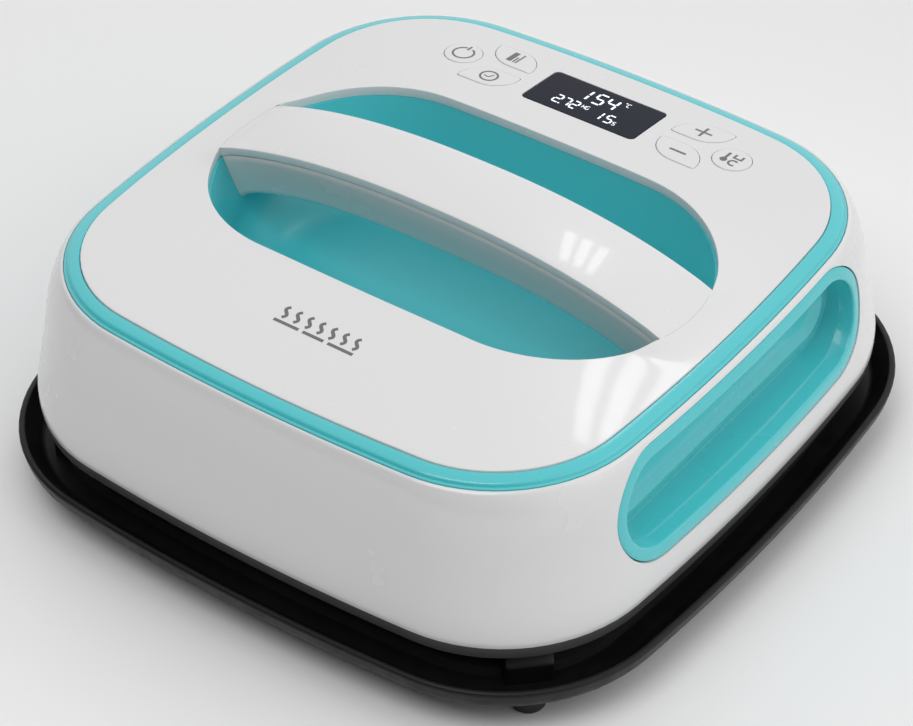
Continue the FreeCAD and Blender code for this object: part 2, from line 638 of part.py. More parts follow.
def make_bowl():
    """Turquoise liner of the hand recess; returns its inner space."""
    def form(name, wall):
        steps = 4
        sections = [
            outline(f"{name}_mouth", "bowl", ("-liner_lean", f"-{wall}") if wall else ("-liner_lean",),
                    ("z_arch",)),
        ]
        for i in range(steps + 1):
            turn = math.pi / 2 * i / steps
            inset = ["bowl_turn", (1 - math.cos(turn), "bowl_round")] + ([f"-{wall}"] if wall else [])
            level = ["z_bowl_floor", (1 - math.sin(turn), "bowl_rise")] + ([f"-{wall}"] if wall else [])
            sections.append(outline(f"{name}_{i}", "bowl", tuple(inset), tuple(level)))
        return sections

    def solid(name, wall=None):
        """Drafted wall above and a rounded foot below, joined at the turn."""
        sections = form(name, wall)
        top = loft(f"{name}_upper", sections[:2], ruled=True)
        foot = loft(f"{name}_lower", sections[1:])
        return fuse(name, [top, foot])

    space = solid("bowl_space")
    blank = solid("bowl_blank", "liner_wall")
    ceiling = under("bowl_ceiling", dome, SIZE["rim_drop"] + SIZE["gap"], depth=SIZE["dome_depth"])
    liner = cut("bowl", common("bowl_trimmed", blank, ceiling), space)
    sub_part(liner, "hand_recess")
    return space


def make_handle(space):
    """Lower handle shell, its steel bar and the screws that hold them to the cover."""
    roof = under("grip_roof", arch_edge, SIZE["handle_cap"] + SIZE["seam"], span_x=SIZE["arch_half_span"])
    sole = under("grip_sole", heel, span_x=SIZE["arch_half_span"])
    tapered = loft("handle_taper", [
        rounded("handle_foot", "handle_length", "handle_width", ("handle_round",) * 4,
                ("-handle_draft",), ("z_waist",)),
        rounded("handle_brow", "handle_length", "handle_width", ("handle_round",) * 4, (), ("z_arch",)),
    ], ruled=True)
    solid = cut("handle_solid", common("handle_under_cap", tapered, roof), sole)
    reach = common("handle_reach", space, bowl_prism("handle_stop", ("seam",)))
    inside = common("handle_in_bowl", solid, reach)
    inner = loft("handle_room", [
        rounded("room_foot", "bar_length", "handle_width", ("handle_round",) * 4,
                ("-handle_draft", "-handle_skin"), ("z_waist",)),
        rounded("room_brow", "bar_length", "handle_width", ("handle_round",) * 4,
                ("-handle_skin",), ("z_arch",)),
    ], ruled=True)
    channel_sole = under("channel_sole", heel, -SIZE["handle_skin"], span_x=SIZE["arch_half_span"])
    room = cut("handle_channel", inner, channel_sole)
    shell = cut("handle_shell", inside, room)
    sub_part(cut("handle", shell, screw_holes("grip")), "handle_grip")
    bar_top = under("bar_top", arch_edge, SIZE["bar_drop"], span_x=SIZE["arch_half_span"])
    bar_low = under("bar_low", arch_edge, SIZE["bar_drop"] + SIZE["bar_web"], span_x=SIZE["arch_half_span"])
    bar_block = box("bar_block", ("bar_length", (-2.0, "handle_round")), ("bar_width",), ("z_arch",),
                    z=SIZE["z_hip"])
    bar = common("bar_blank", bar_block, cut("bar_sheet", bar_top, bar_low))
    sub_part(cut("bar", bar, screw_holes("bar")), "handle_bar")
    z = heel(SIZE["handle_screw_x"], 0) + SIZE["handle_screw_seat"]
    shank = cylinder("handle_screw_shank", ("screw_shank",), ("z_hip",), SIZE["handle_screw_x"], 0, z)
    tip = under("screw_tip", arch_edge, SIZE["screw_cover"], span_x=SIZE["arch_half_span"])
    sub_part(both_sides("handle_screws_pair", common("handle_screw", shank, tip)), "handle_screws")


# ---------------------------------------------------------------- display, buttons, control board

def make_display():
    """Dark window set flush in the cover, over the display module."""
    window = common("window_form", display_prism("window_blank"), dome_skin("window_sheet", "display_glass"))
    sub_part(window, "display_window")
    module = box("display_box", ("lcd_width",), ("lcd_height",), ("lcd_tall",),
                 0, SIZE["display_y"], total(("z_board", "board_web")))
    sub_part(module, "display_module")


def make_buttons():
    """Each button is a crowned cap, a retaining flange under the cover and a short stem."""
    caps, flanges = button_shapes("cap"), button_shapes("flange", ("button_flange",))
    for node, cap in caps.items():
        turned_cap = node in ("button_power", "button_unit")
        centre = cap.Placement.Base if turned_cap else cap.Base.Placement.Base
        crown = under(f"{node}_crown", dome, -SIZE["button_proud"])
        layer = box(f"{node}_layer", ("board_width",), ("board_depth",), ("flange_web",),
                    0, SIZE["display_y"], SIZE["z_flange"])
        stem = cylinder(f"{node}_stem", ("stem_radius",), ("z_flange", "flange_web", "-z_stem"),
                        centre.x, centre.y, SIZE["z_stem"])
        parts = [common(f"{node}_cap", cap, crown), common(f"{node}_flange", flanges[node], layer), stem]
        sub_part(fuse(f"{node}_solid", parts), node)


def button_places():
    places = [(side * SIZE["leaf_x"], SIZE[row]) for side in (-1, 1)
              for row in ("leaf_upper_y", "leaf_lower_y")]
    return places + [(side * SIZE["button_x"], SIZE["button_y"]) for side in (-1, 1)]


def make_control_board():
    board = box("board_sheet", ("board_width",), ("board_depth",), ("board_web",),
                0, SIZE["display_y"], SIZE["z_board"])
    sub_part(board, "control_board")
    switches = [box(f"switch_{i}", ("switch_side",), ("switch_side",), ("switch_tall",),
                    x, y, total(("z_board", "board_web"))) for i, (x, y) in enumerate(button_places())]
    sub_part(group("switches", switches), "tact_switches")
    buzzer = cylinder("buzzer_can", ("buzzer_radius",), ("buzzer_tall",), SIZE["gland_x"],
                      SIZE["display_y"], total(("z_board", "-buzzer_tall")))
    sub_part(buzzer, "buzzer")


# ---------------------------------------------------------------- heating unit

def make_heating_unit():
    plate = prism("plate_blank", outline("plate_outline", "heat", (), ("z_mat",)), ("plate_web",))
    element = element_tube()
    sub_part(cut("plate_cast", plate, element), "heating_plate")
    z_pad = total(("z_mat", "plate_web"))
    pad = prism("pad_blank", outline("pad_outline", "heat", ("pad_inset",), ("z_mat", "plate_web")),
                ("pad_web",))
    place_x = SIZE["spacer_place"]
    legs = [cylinder(f"leg_hole_{side}", ("element_radius", "gap"), ("z_chassis",),
                     side * SIZE["element_pitch"] * 1.5, -SIZE["element_span"], z_pad) for side in (-1, 1)]
    ports = fuse("leg_holes", legs)
    probes = fuse("probe_holes", [
        cylinder("probe_hole", ("probe_radius", "gap"), ("probe_length",), 0, 0, z_pad),
        cylinder("fuse_hole", ("fuse_radius", "gap"), ("fuse_length",), SIZE["element_pitch"], 0, z_pad),
    ])
    sub_part(cut("pad", cut("pad_ported", pad, ports), probes), "insulation_pad")
    shield = prism("shield_blank", outline("shield_outline", "heat", ("pad_inset",),
                                           ("z_mat", "plate_web", "pad_web")), ("shield_web",))
    sub_part(cut("shield", cut("shield_ported", shield, ports), probes), "heat_shield")
    sub_part(cylinder("probe", ("probe_radius",), ("probe_length",), 0, 0, z_pad), "thermistor")
    sub_part(cylinder("fuse_can", ("fuse_radius",), ("fuse_length",), SIZE["element_pitch"], 0, z_pad),
             "thermal_fuse")
    z_top = total(("z_mat", "plate_web", "pad_web", "shield_web"))
    spacer = cut("spacer_one", cylinder("spacer_post", ("spacer_radius",), ("spacer_length",),
                                        place_x, place_x, z_top),
                 cylinder("spacer_bore", ("spacer_hole",), ("spacer_length",), place_x, place_x, z_top))
    sub_part(at_four_corners("spacers", spacer), "plate_spacers")
    cell = box("cell_one", ("cell_side",), ("cell_side",), ("cell_tall",), place_x, place_x,
               total(("z_chassis", "-cell_tall")))
    sub_part(at_four_corners("cells", cell), "load_cells")


def element_tube():
    """Tubular heater cast into the plate: four long runs joined by bends, both ends standing up."""
    pitch, span = SIZE["element_pitch"], SIZE["element_span"]
    z = total(("z_mat", "element_depth"))
    top = z + SIZE["element_rise"]
    bend = pitch / 2
    columns = [pitch * (i - 1.5) for i in range(4)]
    edges = []
    for i, x in enumerate(columns):
        ends = (Vector(x, -span, z), Vector(x, span, z))
        start, stop = ends if i % 2 == 0 else ends[::-1]
        edges.append(Part.LineSegment(start, stop).toShape())
        if i < 3:
            lift = bend if i % 2 == 0 else -bend
            edges.append(Part.Arc(stop, Vector(x + bend, stop.y + lift, z),
                                  Vector(x + pitch, stop.y, z)).toShape())
    spine = raw("element_path", Part.Wire(edges))
    ring = doc.addObject("Part::Circle", "element_section")
    bind(ring, Radius="Sizes.element_radius")
    place(ring, columns[0], -span, z, ALONG_Y)
    tube = doc.addObject("Part::Sweep", "element_tube")
    tube.Sections = [ring]
    tube.Spine = (spine, [f"Edge{i + 1}" for i in range(len(edges))])
    tube.Solid = True
    legs = [cylinder(f"element_leg_{i}", ("element_radius",), ("element_rise",), x, -span, z)
            for i, x in enumerate((columns[0], columns[-1]))]
    sub_part(fuse("element", [tube] + legs), "heating_element")
    return doc.getObject("element")


# ---------------------------------------------------------------- chassis, power board, cord gland

def make_chassis():
    sheet_blank = prism("chassis_blank", outline("chassis_outline", "waist", ("wall", "gap"), ("z_chassis",)),
                        ("wall",))
    clear = stadium("chassis_clear", ("grip_radius", "seam"), ("grip_back", "-seam"), ("grip_reach",))
    at = SIZE["corner_screw"]
    hole = cylinder("chassis_hole", ("boss_hole",), ("z_bed",), at, at)
    trimmed = cut("chassis_trimmed", sheet_blank, both_sides("chassis_clears", clear))
    sub_part(cut("chassis", trimmed, at_four_corners("chassis_holes", hole)), "chassis_plate")
    shank = cylinder("bed_shank", ("screw_shank",), ("bed_screw",), at, at, total(("z_bed", "-bed_screw")))
    head = cylinder("bed_head", ("bed_head",), ("screw_head_web",), at, at, SIZE["z_bed"])
    sub_part(at_four_corners("bed_screws", fuse("bed_screw_one", [shank, head])), "chassis_screws")


def make_power_board():
    x, y = SIZE["power_x"], SIZE["power_y"]
    z = total(("z_bed", "power_stand"))
    half = (SIZE["power_width"] / 2 - SIZE["pillar_inset"], SIZE["power_depth"] / 2 - SIZE["pillar_inset"])
    pillars = [cylinder(f"pillar_{i}", ("pillar_radius",), ("power_stand",), x + a * half[0], y + b * half[1],
                        SIZE["z_bed"]) for i, (a, b) in enumerate(((-1, -1), (-1, 1), (1, -1), (1, 1)))]
    sub_part(group("pillars", pillars), "board_pillars")
    sub_part(box("power_sheet", ("power_width",), ("power_depth",), ("board_web",), x, y, z), "power_board")
    top = z + SIZE["board_web"]
    for node, kind in (("power_relay", "relay"), ("transformer", "core"), ("terminal_block", "terminal")):
        piece = box(f"{kind}_case", (f"{kind}_length",), (f"{kind}_width",), (f"{kind}_tall",),
                    x + SIZE[f"{kind}_shift"], y, top)
        sub_part(piece, node)


def make_gland():
    x, z = SIZE["gland_x"], SIZE["gland_z"]
    body = cylinder("gland_body", ("gland_radius",), ("gland_length",), x, SIZE["gland_inner"], z, ALONG_Y)
    flange = cylinder("gland_collar", ("gland_flange",), ("gland_flange_web",), x, SIZE["gland_seat"], z,
                      ALONG_Y)
    bore = cylinder("gland_bore_tool", ("gland_bore",), ("gland_length",), x, SIZE["gland_inner"], z, ALONG_Y)
    sub_part(cut("gland", fuse("gland_solid", [body, flange]), bore), "cord_gland")


# ---------------------------------------------------------------- build and write

def check_document():
    """Stop if any object failed or any piece is not a valid solid."""
    for thing in doc.Objects:
        if "Invalid" in thing.State or "Error" in thing.State:
            raise RuntimeError(f"{thing.Name} failed: {thing.State}")
    for piece in SUB_PARTS:
        shape = piece.Shape
        if shape.isNull() or not shape.isValid() or not shape.Solids:
            raise RuntimeError(f"{piece.Label} is not a valid solid")


def write_parts():
    os.makedirs("parts", exist_ok=True)
    for piece in SUB_PARTS:
        piece.Shape.exportStep(f"parts/{piece.Label}.step")
        print(f"{piece.Label}: {len(piece.Shape.Solids)} solids, {piece.Shape.Volume / 1000:.1f} cm3")


make_tray()
make_mat()
make_rests()
make_feet()
shell_outside = make_shell()
make_bottom_frame()
make_side_grips(shell_outside)
make_trim_ring()
make_top_cover()
bowl_space = make_bowl()
make_handle(bowl_space)
make_display()
make_buttons()
make_control_board()
make_heating_unit()
make_chassis()
make_power_board()
make_gland()
doc.recompute()
check_document()
write_parts()
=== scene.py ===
"""Looks of the portable heat press: smooth moulded shells, printed panel, studio light and camera.

Shapes are worked out in millimetres, in the frame's own axes, and turned into metres where a mesh is made.
"""

import json
import math

import bmesh
import bpy
import numpy as np
from mathutils import Matrix, Vector
from mathutils.bvhtree import BVHTree


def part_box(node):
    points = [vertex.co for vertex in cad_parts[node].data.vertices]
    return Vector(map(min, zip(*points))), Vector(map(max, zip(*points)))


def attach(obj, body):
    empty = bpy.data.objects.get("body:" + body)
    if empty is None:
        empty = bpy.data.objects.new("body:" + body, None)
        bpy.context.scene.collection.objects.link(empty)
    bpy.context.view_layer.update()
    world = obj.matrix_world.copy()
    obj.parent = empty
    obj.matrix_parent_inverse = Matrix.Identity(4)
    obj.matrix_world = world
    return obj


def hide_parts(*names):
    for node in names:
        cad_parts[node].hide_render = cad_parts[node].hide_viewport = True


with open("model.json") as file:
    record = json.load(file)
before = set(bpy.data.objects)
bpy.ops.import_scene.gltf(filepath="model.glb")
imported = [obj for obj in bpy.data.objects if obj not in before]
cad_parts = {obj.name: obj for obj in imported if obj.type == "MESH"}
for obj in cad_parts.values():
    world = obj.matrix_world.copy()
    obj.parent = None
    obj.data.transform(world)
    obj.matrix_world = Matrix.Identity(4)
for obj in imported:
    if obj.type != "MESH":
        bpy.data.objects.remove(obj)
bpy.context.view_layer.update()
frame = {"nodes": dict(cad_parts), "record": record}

MM = 0.001
PI = math.pi


def span(node):
    """The node's lowest and highest corners, in millimetres."""
    low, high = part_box(node)
    return np.array(low) / MM, np.array(high) / MM


# ------------------------------------------------------------------ plan outlines

class Outline:
    """Four bowed sides joined by round corners.

    It takes the half width and depth, the radii of the bowed sides and ends, and the corner radius.
    """

    def __init__(self, half_x, half_y, bow_x, bow_y, corner):
        self.half_x, self.half_y, self.bow_x, self.bow_y, self.corner = half_x, half_y, bow_x, bow_y, corner
        self.top = np.array([0.0, half_y - bow_y])
        self.right = np.array([half_x - bow_x, 0.0])
        across = self.right - self.top
        length = np.hypot(*across)
        along = ((bow_y - corner) ** 2 - (bow_x - corner) ** 2 + length ** 2) / (2 * length)
        rise = math.sqrt((bow_y - corner) ** 2 - along ** 2)
        unit = across / length
        self.centre = self.top + unit * along + np.array([unit[1], -unit[0]]) * rise
        self.low = math.atan2(*(self.centre - self.right)[::-1])
        self.high = math.atan2(*(self.centre - self.top)[::-1])

    def inset(self, depth):
        return Outline(self.half_x - depth, self.half_y - depth, self.bow_x - depth, self.bow_y - depth,
                       self.corner - depth)

    def quarter(self, side=14, turn=16, end=14):
        """Points from the middle of the right side round the corner to the middle of the back."""
        arcs = ((self.right, self.bow_x, 0, self.low, side),
                (self.centre, self.corner, self.low, self.high, turn),
                (self.top, self.bow_y, self.high, PI / 2, end))
        points = []
        for centre, radius, start, stop, count in arcs:
            for angle in np.linspace(start, stop, count, endpoint=False):
                points.append(centre + radius * np.array([math.cos(angle), math.sin(angle)]))
        points.append(np.array([0.0, self.half_y]))
        return np.array(points)

    def loop(self, side=14, turn=16, end=14):
        """The whole outline, anticlockwise from the middle of the right side."""
        q = self.quarter(side, turn, end)
        left = q[::-1] * (-1, 1)
        return np.vstack([q[:-1], left[:-1], q[:-1] * -1, left[:-1] * -1])

    def x_at(self, y):
        """Half width of the outline at a distance y from the middle."""
        y = abs(y)
        if y <= self.right[1] + self.bow_x * math.sin(self.low):
            return self.right[0] + math.sqrt(self.bow_x ** 2 - y ** 2)
        dy = min(abs(y - self.centre[1]), self.corner)
        return self.centre[0] + math.sqrt(self.corner ** 2 - dy ** 2)


PLATE_HALF = 125.1
PLATE = Outline(PLATE_HALF, PLATE_HALF, 880, 880, 55.0)
BOWL = Outline(110.2, 62.6, 70, 2290, 61.0)
RING = Outline(132.0, 132.0, 985, 985, 63.2)
HEAT = Outline(127.0, 127.0, 2400, 2400, 46.0)
LIP = Outline(154.2, 154.2, 950, 950, 73.0)
FOOT = Outline(144.5, 144.5, 1000, 1000, 66.7)

Z_SHELL, Z_BROW = (corner[2] for corner in span("body_shell"))
Z_TRAY, Z_LIP = (corner[2] for corner in span("safety_tray"))
Z_RING = span("trim_ring")[0][2]
Z_COVER = span("top_cover")[0][2]
Z_PLATE = Z_COVER + 3.25
Z_FLOOR = span("hand_recess")[0][2] + 2.4
Z_FRAME = span("bottom_frame")[0][2]

# The white body flares downwards: half width and corner radius against height.
SHELL_LEVELS = np.array([0.0, 25.0, 45.0, 60.0, 65.0])
SHELL_HALF = np.polyfit(SHELL_LEVELS, [144.5, 142.2, 139.2, 135.7, 133.3], 4)
SHELL_CORNER = np.polyfit(SHELL_LEVELS, [66.7, 66.2, 65.6, 65.0, 64.5], 2)


def shell_outline(z):
    half = float(np.polyval(SHELL_HALF, z - Z_SHELL))
    return Outline(half, half, 992, 992, float(np.polyval(SHELL_CORNER, z - Z_SHELL)))


# ------------------------------------------------------------------ height of the top surfaces

DOME_RISE = 8.2
DOME_POWER = 4.6
HANDLE_HALF = 18.4
CREST = Z_BROW + 22.96
# How softly the handle runs out into the dome.
BLEND = 2.2


def dome(x, y):
    across, along = abs(x) / PLATE_HALF, abs(y) / PLATE_HALF
    share = (across ** DOME_POWER + along ** DOME_POWER) ** (1 / DOME_POWER)
    return Z_PLATE + DOME_RISE * (1 - share ** 2)


def crease(x):
    """Height of the handle's upper edge."""
    u = x / 100
    return CREST - 9.66 * u ** 2 - 3.78 * u ** 4


def heel(x):
    """Height of the handle's underside."""
    v = x / 90
    return Z_BROW - 1.28 - 5.68 * v ** 2 - 5.19 * v ** 4


def smooth(value, low, high):
    t = min(max((value - low) / (high - low), 0.0), 1.0)
    return t * t * (3 - 2 * t)


def top_surface(x, y):
    """The cover: a dome that swells up into the handle along the middle and runs out beyond its ends."""
    base = dome(x, y)
    lift = crease(x) - dome(x, 0)
    swell = (lift + math.hypot(lift, BLEND)) / 2 * (1 - smooth(abs(x), 101, 124))
    outside = max(abs(y) - HANDLE_HALF, 0.0)
    swell *= math.exp(-(outside / 7.0) ** 2)
    crown = max(1 - (y / HANDLE_HALF) ** 2, 0.0) * 0.85 * (1 - smooth(abs(x), 80, 108))
    return base + swell + crown


# ------------------------------------------------------------------ meshes

def make_mesh(name, points, faces, material, body, angle=35.0, replaces=()):
    """A mesh object from millimetre points, smooth within the given angle, riding on a body."""
    mesh = bpy.data.meshes.new(name)
    mesh.from_pydata([tuple(float(c) * MM for c in p) for p in points], [], faces)
    mesh.validate()
    bm = bmesh.new()
    bm.from_mesh(mesh)
    bmesh.ops.remove_doubles(bm, verts=bm.verts, dist=1e-6)
    bmesh.ops.recalc_face_normals(bm, faces=bm.faces)
    bm.to_mesh(mesh)
    bm.free()
    obj = bpy.data.objects.new(name, mesh)
    bpy.context.scene.collection.objects.link(obj)
    finish_piece(obj, material, body, angle, replaces)
    return obj


def finish_piece(obj, material, body, angle, replaces):
    """Smooth shading, the material, the body it rides on and the nodes it stands for."""
    mesh = obj.data
    mesh.polygons.foreach_set("use_smooth", [True] * len(mesh.polygons))
    mesh.set_sharp_from_angle(angle=math.radians(angle))
    mesh.materials.clear()
    mesh.materials.append(material)
    if body:
        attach(obj, body)
    if replaces:
        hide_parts(*replaces)


def join_rings(rings, closed_section=False):
    """Faces over a stack of equal closed rings; the stack itself may close on its first ring."""
    count, size = len(rings), len(rings[0])
    points = [p for ring in rings for p in ring]
    faces = []
    for k in range(count if closed_section else count - 1):
        a, b = k * size, ((k + 1) % count) * size
        for i in range(size):
            j = (i + 1) % size
            faces.append((a + i, a + j, b + j, b + i))
    if not closed_section:
        faces.append(tuple(range(size))[::-1])
        faces.append(tuple(range((count - 1) * size, count * size)))
    return points, faces


def at_height(loop, z):
    """Lift a plan loop to a height, which may be a number or a function of x and y."""
    if callable(z):
        return [(x, y, z(x, y)) for x, y in loop]
    return [(x, y, z) for x, y in loop]


def fillet(radius, steps):
    """Points (sine, cosine) times radius round a quarter turn."""
    return [(radius * math.sin(a), radius * math.cos(a)) for a in np.linspace(0.0, PI / 2, steps)]


def apply_modifiers(obj):
    bpy.context.view_layer.update()
    shaped = bpy.data.meshes.new_from_object(obj.evaluated_get(bpy.context.evaluated_depsgraph_get()))
    obj.modifiers.clear()
    obj.data = shaped


def bevel(obj, width, segments=3, angle=40.0):
    """Round every edge sharper than the angle, width in millimetres."""
    step = obj.modifiers.new("round", "BEVEL")
    step.width = width * MM
    step.segments = segments
    step.limit_method = "ANGLE"
    step.angle_limit = math.radians(angle)
    step.harden_normals = False
    apply_modifiers(obj)


def carve(obj, cutters, keep_angle=35.0):
    """Cut the cutters out of obj, keeping the smooth shading of the surface as it was before the cut."""
    source = obj.data.copy()
    normals = [v.normal.copy() for v in source.vertices]
    tree = BVHTree.FromPolygons([v.co for v in source.vertices], [tuple(p.vertices) for p in source.polygons])
    for cutter in cutters:
        step = obj.modifiers.new("cut", "BOOLEAN")
        step.operation = "DIFFERENCE"
        step.solver = "EXACT"
        step.object = cutter
    apply_modifiers(obj)
    mesh = obj.data
    mesh.polygons.foreach_set("use_smooth", [True] * len(mesh.polygons))
    custom = []
    limit = math.cos(math.radians(keep_angle))
    for face in mesh.polygons:
        for corner in face.vertices:
            custom.append(shading_normal(source, normals, tree, mesh.vertices[corner].co, face.normal, limit))
    mesh.normals_split_custom_set(custom)
    for cutter in cutters:
        bpy.data.objects.remove(cutter)


def shading_normal(source, normals, tree, point, flat, limit):
    """The source surface's smooth normal at a point, or the face's own where they differ too much."""
    place, face_normal, index, _ = tree.find_nearest(point - flat * 1e-5)
    if index is None or face_normal.dot(flat) < limit:
        return flat
    corners = source.polygons[index].vertices
    weights = [1 / ((source.vertices[c].co - place).length + 1e-7) ** 2 for c in corners]
    blend = Vector()
    for c, w in zip(corners, weights):
        if normals[c].dot(face_normal) > limit:
            blend += normals[c] * w
    return blend.normalized() if blend.length else face_normal


def prism_cutter(name, loop, low, high):
    points, faces = join_rings([at_height(loop, low), at_height(loop, high)])
    obj = make_mesh(name, points, faces, MATERIALS["white_plastic"], None)
    obj.hide_render = True
    return obj


# ------------------------------------------------------------------ materials

def node_material(name):
    if name in bpy.data.materials:
        bpy.data.materials[name].name = f"{name}_packed"
    material = bpy.data.materials.new(name)
    material.use_nodes = True
    tree = material.node_tree
    return material, tree.nodes, tree.links, tree.nodes["Principled BSDF"]


def noise(nodes, links, scale, detail=3.0, stretch=None):
    """Noise in object coordinates; scale is features per metre."""
    place = nodes.new("ShaderNodeTexCoord")
    texture = nodes.new("ShaderNodeTexNoise")
    texture.inputs["Scale"].default_value = scale
    texture.inputs["Detail"].default_value = detail
    source = place.outputs["Object"]
    if stretch:
        mapping = nodes.new("ShaderNodeMapping")
        mapping.inputs["Scale"].default_value = stretch
        links.new(source, mapping.inputs["Vector"])
        source = mapping.outputs["Vector"]
    links.new(source, texture.inputs["Vector"])
    return texture.outputs["Fac"]


def remap(nodes, links, value, low, high):
    step = nodes.new("ShaderNodeMapRange")
    step.inputs["From Min"].default_value = 0.3
    step.inputs["From Max"].default_value = 0.7
    step.inputs["To Min"].default_value = low
    step.inputs["To Max"].default_value = high
    links.new(value, step.inputs["Value"])
    return step.outputs["Result"]


def surface(name, colour, other=None, rough=(0.2, 0.3), bump=0.02, grain=900.0, cloud=14.0, metallic=0.0,
            coat=0.0, coat_rough=0.05, specular=0.5, stretch=None, sheen=0.0, depth=0.00004):
    """A moulded, cast or fibrous surface: cloudy colour, uneven roughness and a fine grain."""
    material, nodes, links, shader = node_material(name)
    mix = nodes.new("ShaderNodeMix")
    mix.data_type = "RGBA"
    mix.inputs["A"].default_value = (*colour, 1)
    mix.inputs["B"].default_value = (*(other or tuple(c * 0.93 for c in colour)), 1)
    links.new(remap(nodes, links, noise(nodes, links, cloud, 2.0), 0.0, 1.0), mix.inputs["Factor"])
    links.new(mix.outputs["Result"], shader.inputs["Base Color"])
    patches = noise(nodes, links, cloud * 9, 4.0, stretch)
    links.new(remap(nodes, links, patches, *rough), shader.inputs["Roughness"])
    relief = nodes.new("ShaderNodeBump")
    relief.inputs["Strength"].default_value = bump
    relief.inputs["Distance"].default_value = depth
    links.new(noise(nodes, links, grain, 3.0, stretch), relief.inputs["Height"])
    links.new(relief.outputs["Normal"], shader.inputs["Normal"])
    shader.inputs["Metallic"].default_value = metallic
    shader.inputs["Coat Weight"].default_value = coat
    shader.inputs["Coat Roughness"].default_value = coat_rough
    shader.inputs["Specular IOR Level"].default_value = specular
    shader.inputs["Sheen Weight"].default_value = sheen
    return material


def glowing(name, colour, strength):
    material, nodes, links, shader = node_material(name)
    shader.inputs["Base Color"].default_value = (*colour, 1)
    shader.inputs["Roughness"].default_value = 0.4
    shader.inputs["Emission Color"].default_value = (*colour, 1)
    flicker = remap(nodes, links, noise(nodes, links, 400.0), strength * 0.9, strength)
    links.new(flicker, shader.inputs["Emission Strength"])
    return material


MATERIALS = {
    "white_plastic": surface("white_plastic", (0.76, 0.76, 0.765), (0.75, 0.75, 0.755), (0.265, 0.275),
                             0.012, 700.0, coat=0.6, coat_rough=0.05, cloud=3.0),
    # Handle plastic: a little greyer than the white, with a painted red tint that cancels the turquoise light
    # the bowl bounces onto the handle's side.
    "handle_plastic": surface("handle_plastic", (0.78, 0.70, 0.69), (0.77, 0.69, 0.68), (0.265, 0.275),
                              0.012, 700.0, coat=0.5, coat_rough=0.06, cloud=3.0),
    "turquoise_plastic": surface("turquoise_plastic", (0.075, 0.58, 0.62), (0.073, 0.57, 0.61), (0.26, 0.28),
                                 0.03, 900.0, coat=0.45, coat_rough=0.08, cloud=4.0),
    "liner_plastic": surface("liner_plastic", (0.07, 0.55, 0.60), (0.068, 0.54, 0.59), (0.32, 0.36),
                             0.03, 900.0, coat=0.1, coat_rough=0.12, specular=0.4, cloud=4.0),
    "black_plastic": surface("black_plastic", (0.004, 0.004, 0.0043), (0.006, 0.006, 0.0063), (0.36, 0.5),
                             0.25, 2600.0, specular=0.28),
    "frame_plastic": surface("frame_plastic", (0.055, 0.055, 0.056), None, (0.35, 0.45), 0.2, 2600.0),
    "silicone": surface("silicone", (0.012, 0.011, 0.010), (0.018, 0.016, 0.015), (0.55, 0.7), 0.4, 1800.0),
    "steel": surface("steel", (0.62, 0.62, 0.63), None, (0.22, 0.36), 0.3, 900.0, metallic=1.0,
                     stretch=(1, 1, 12)),
    "dark_glass": surface("dark_glass", (0.006, 0.008, 0.018), (0.009, 0.012, 0.026), (0.08, 0.12),
                          0.01, 500.0, specular=0.13, cloud=18.0),
    "circuit": surface("circuit", (0.01, 0.12, 0.05), (0.02, 0.16, 0.07), (0.3, 0.4), 0.3, 500.0),
    "component": surface("component", (0.02, 0.02, 0.022), None, (0.3, 0.4), 0.2, 1500.0),
    "plate_aluminium": surface("plate_aluminium", (0.10, 0.10, 0.11), (0.13, 0.13, 0.14), (0.35, 0.5),
                               0.3, 1200.0, metallic=0.4),
    "element_steel": surface("element_steel", (0.3, 0.29, 0.28), None, (0.4, 0.55), 0.3, 900.0, metallic=1.0),
    "mineral_wool": surface("mineral_wool", (0.72, 0.69, 0.58), (0.62, 0.59, 0.48), (0.85, 0.95), 1.0, 700.0,
                            sheen=0.3, depth=0.0004),
    "print_grey": surface("print_grey", (0.155, 0.155, 0.16), None, (0.35, 0.45), 0.05, 1500.0),
    "digit_glow": glowing("digit_glow", (0.80, 0.86, 0.94), 0.85),
    "floor_paint": surface("floor_paint", (0.90, 0.90, 0.90), (0.895, 0.895, 0.895), (0.6, 0.7), 0.02, 300.0,
                           cloud=1.5),
}
# The record's slot that each material takes its finish from: its own, or that of the plastic it varies.
SLOT_OF = {name: name for name in MATERIALS}
SLOT_OF.update(handle_plastic="white_plastic", liner_plastic="turquoise_plastic",
               frame_plastic="black_plastic", print_grey="component", digit_glow="dark_glass")
WHITE, TURQUOISE, BLACK = (MATERIALS[k] for k in ("white_plastic", "turquoise_plastic", "black_plastic"))

for piece in frame["record"]["subparts"]:
    cad = frame["nodes"][piece["node"]]
    cad.data.materials.clear()
    cad.data.materials.append(MATERIALS[piece["material_slot"]])


# ------------------------------------------------------------------ safety base

def tray_ring(depth, z):
    return at_height(LIP.inset(depth).loop(), z)


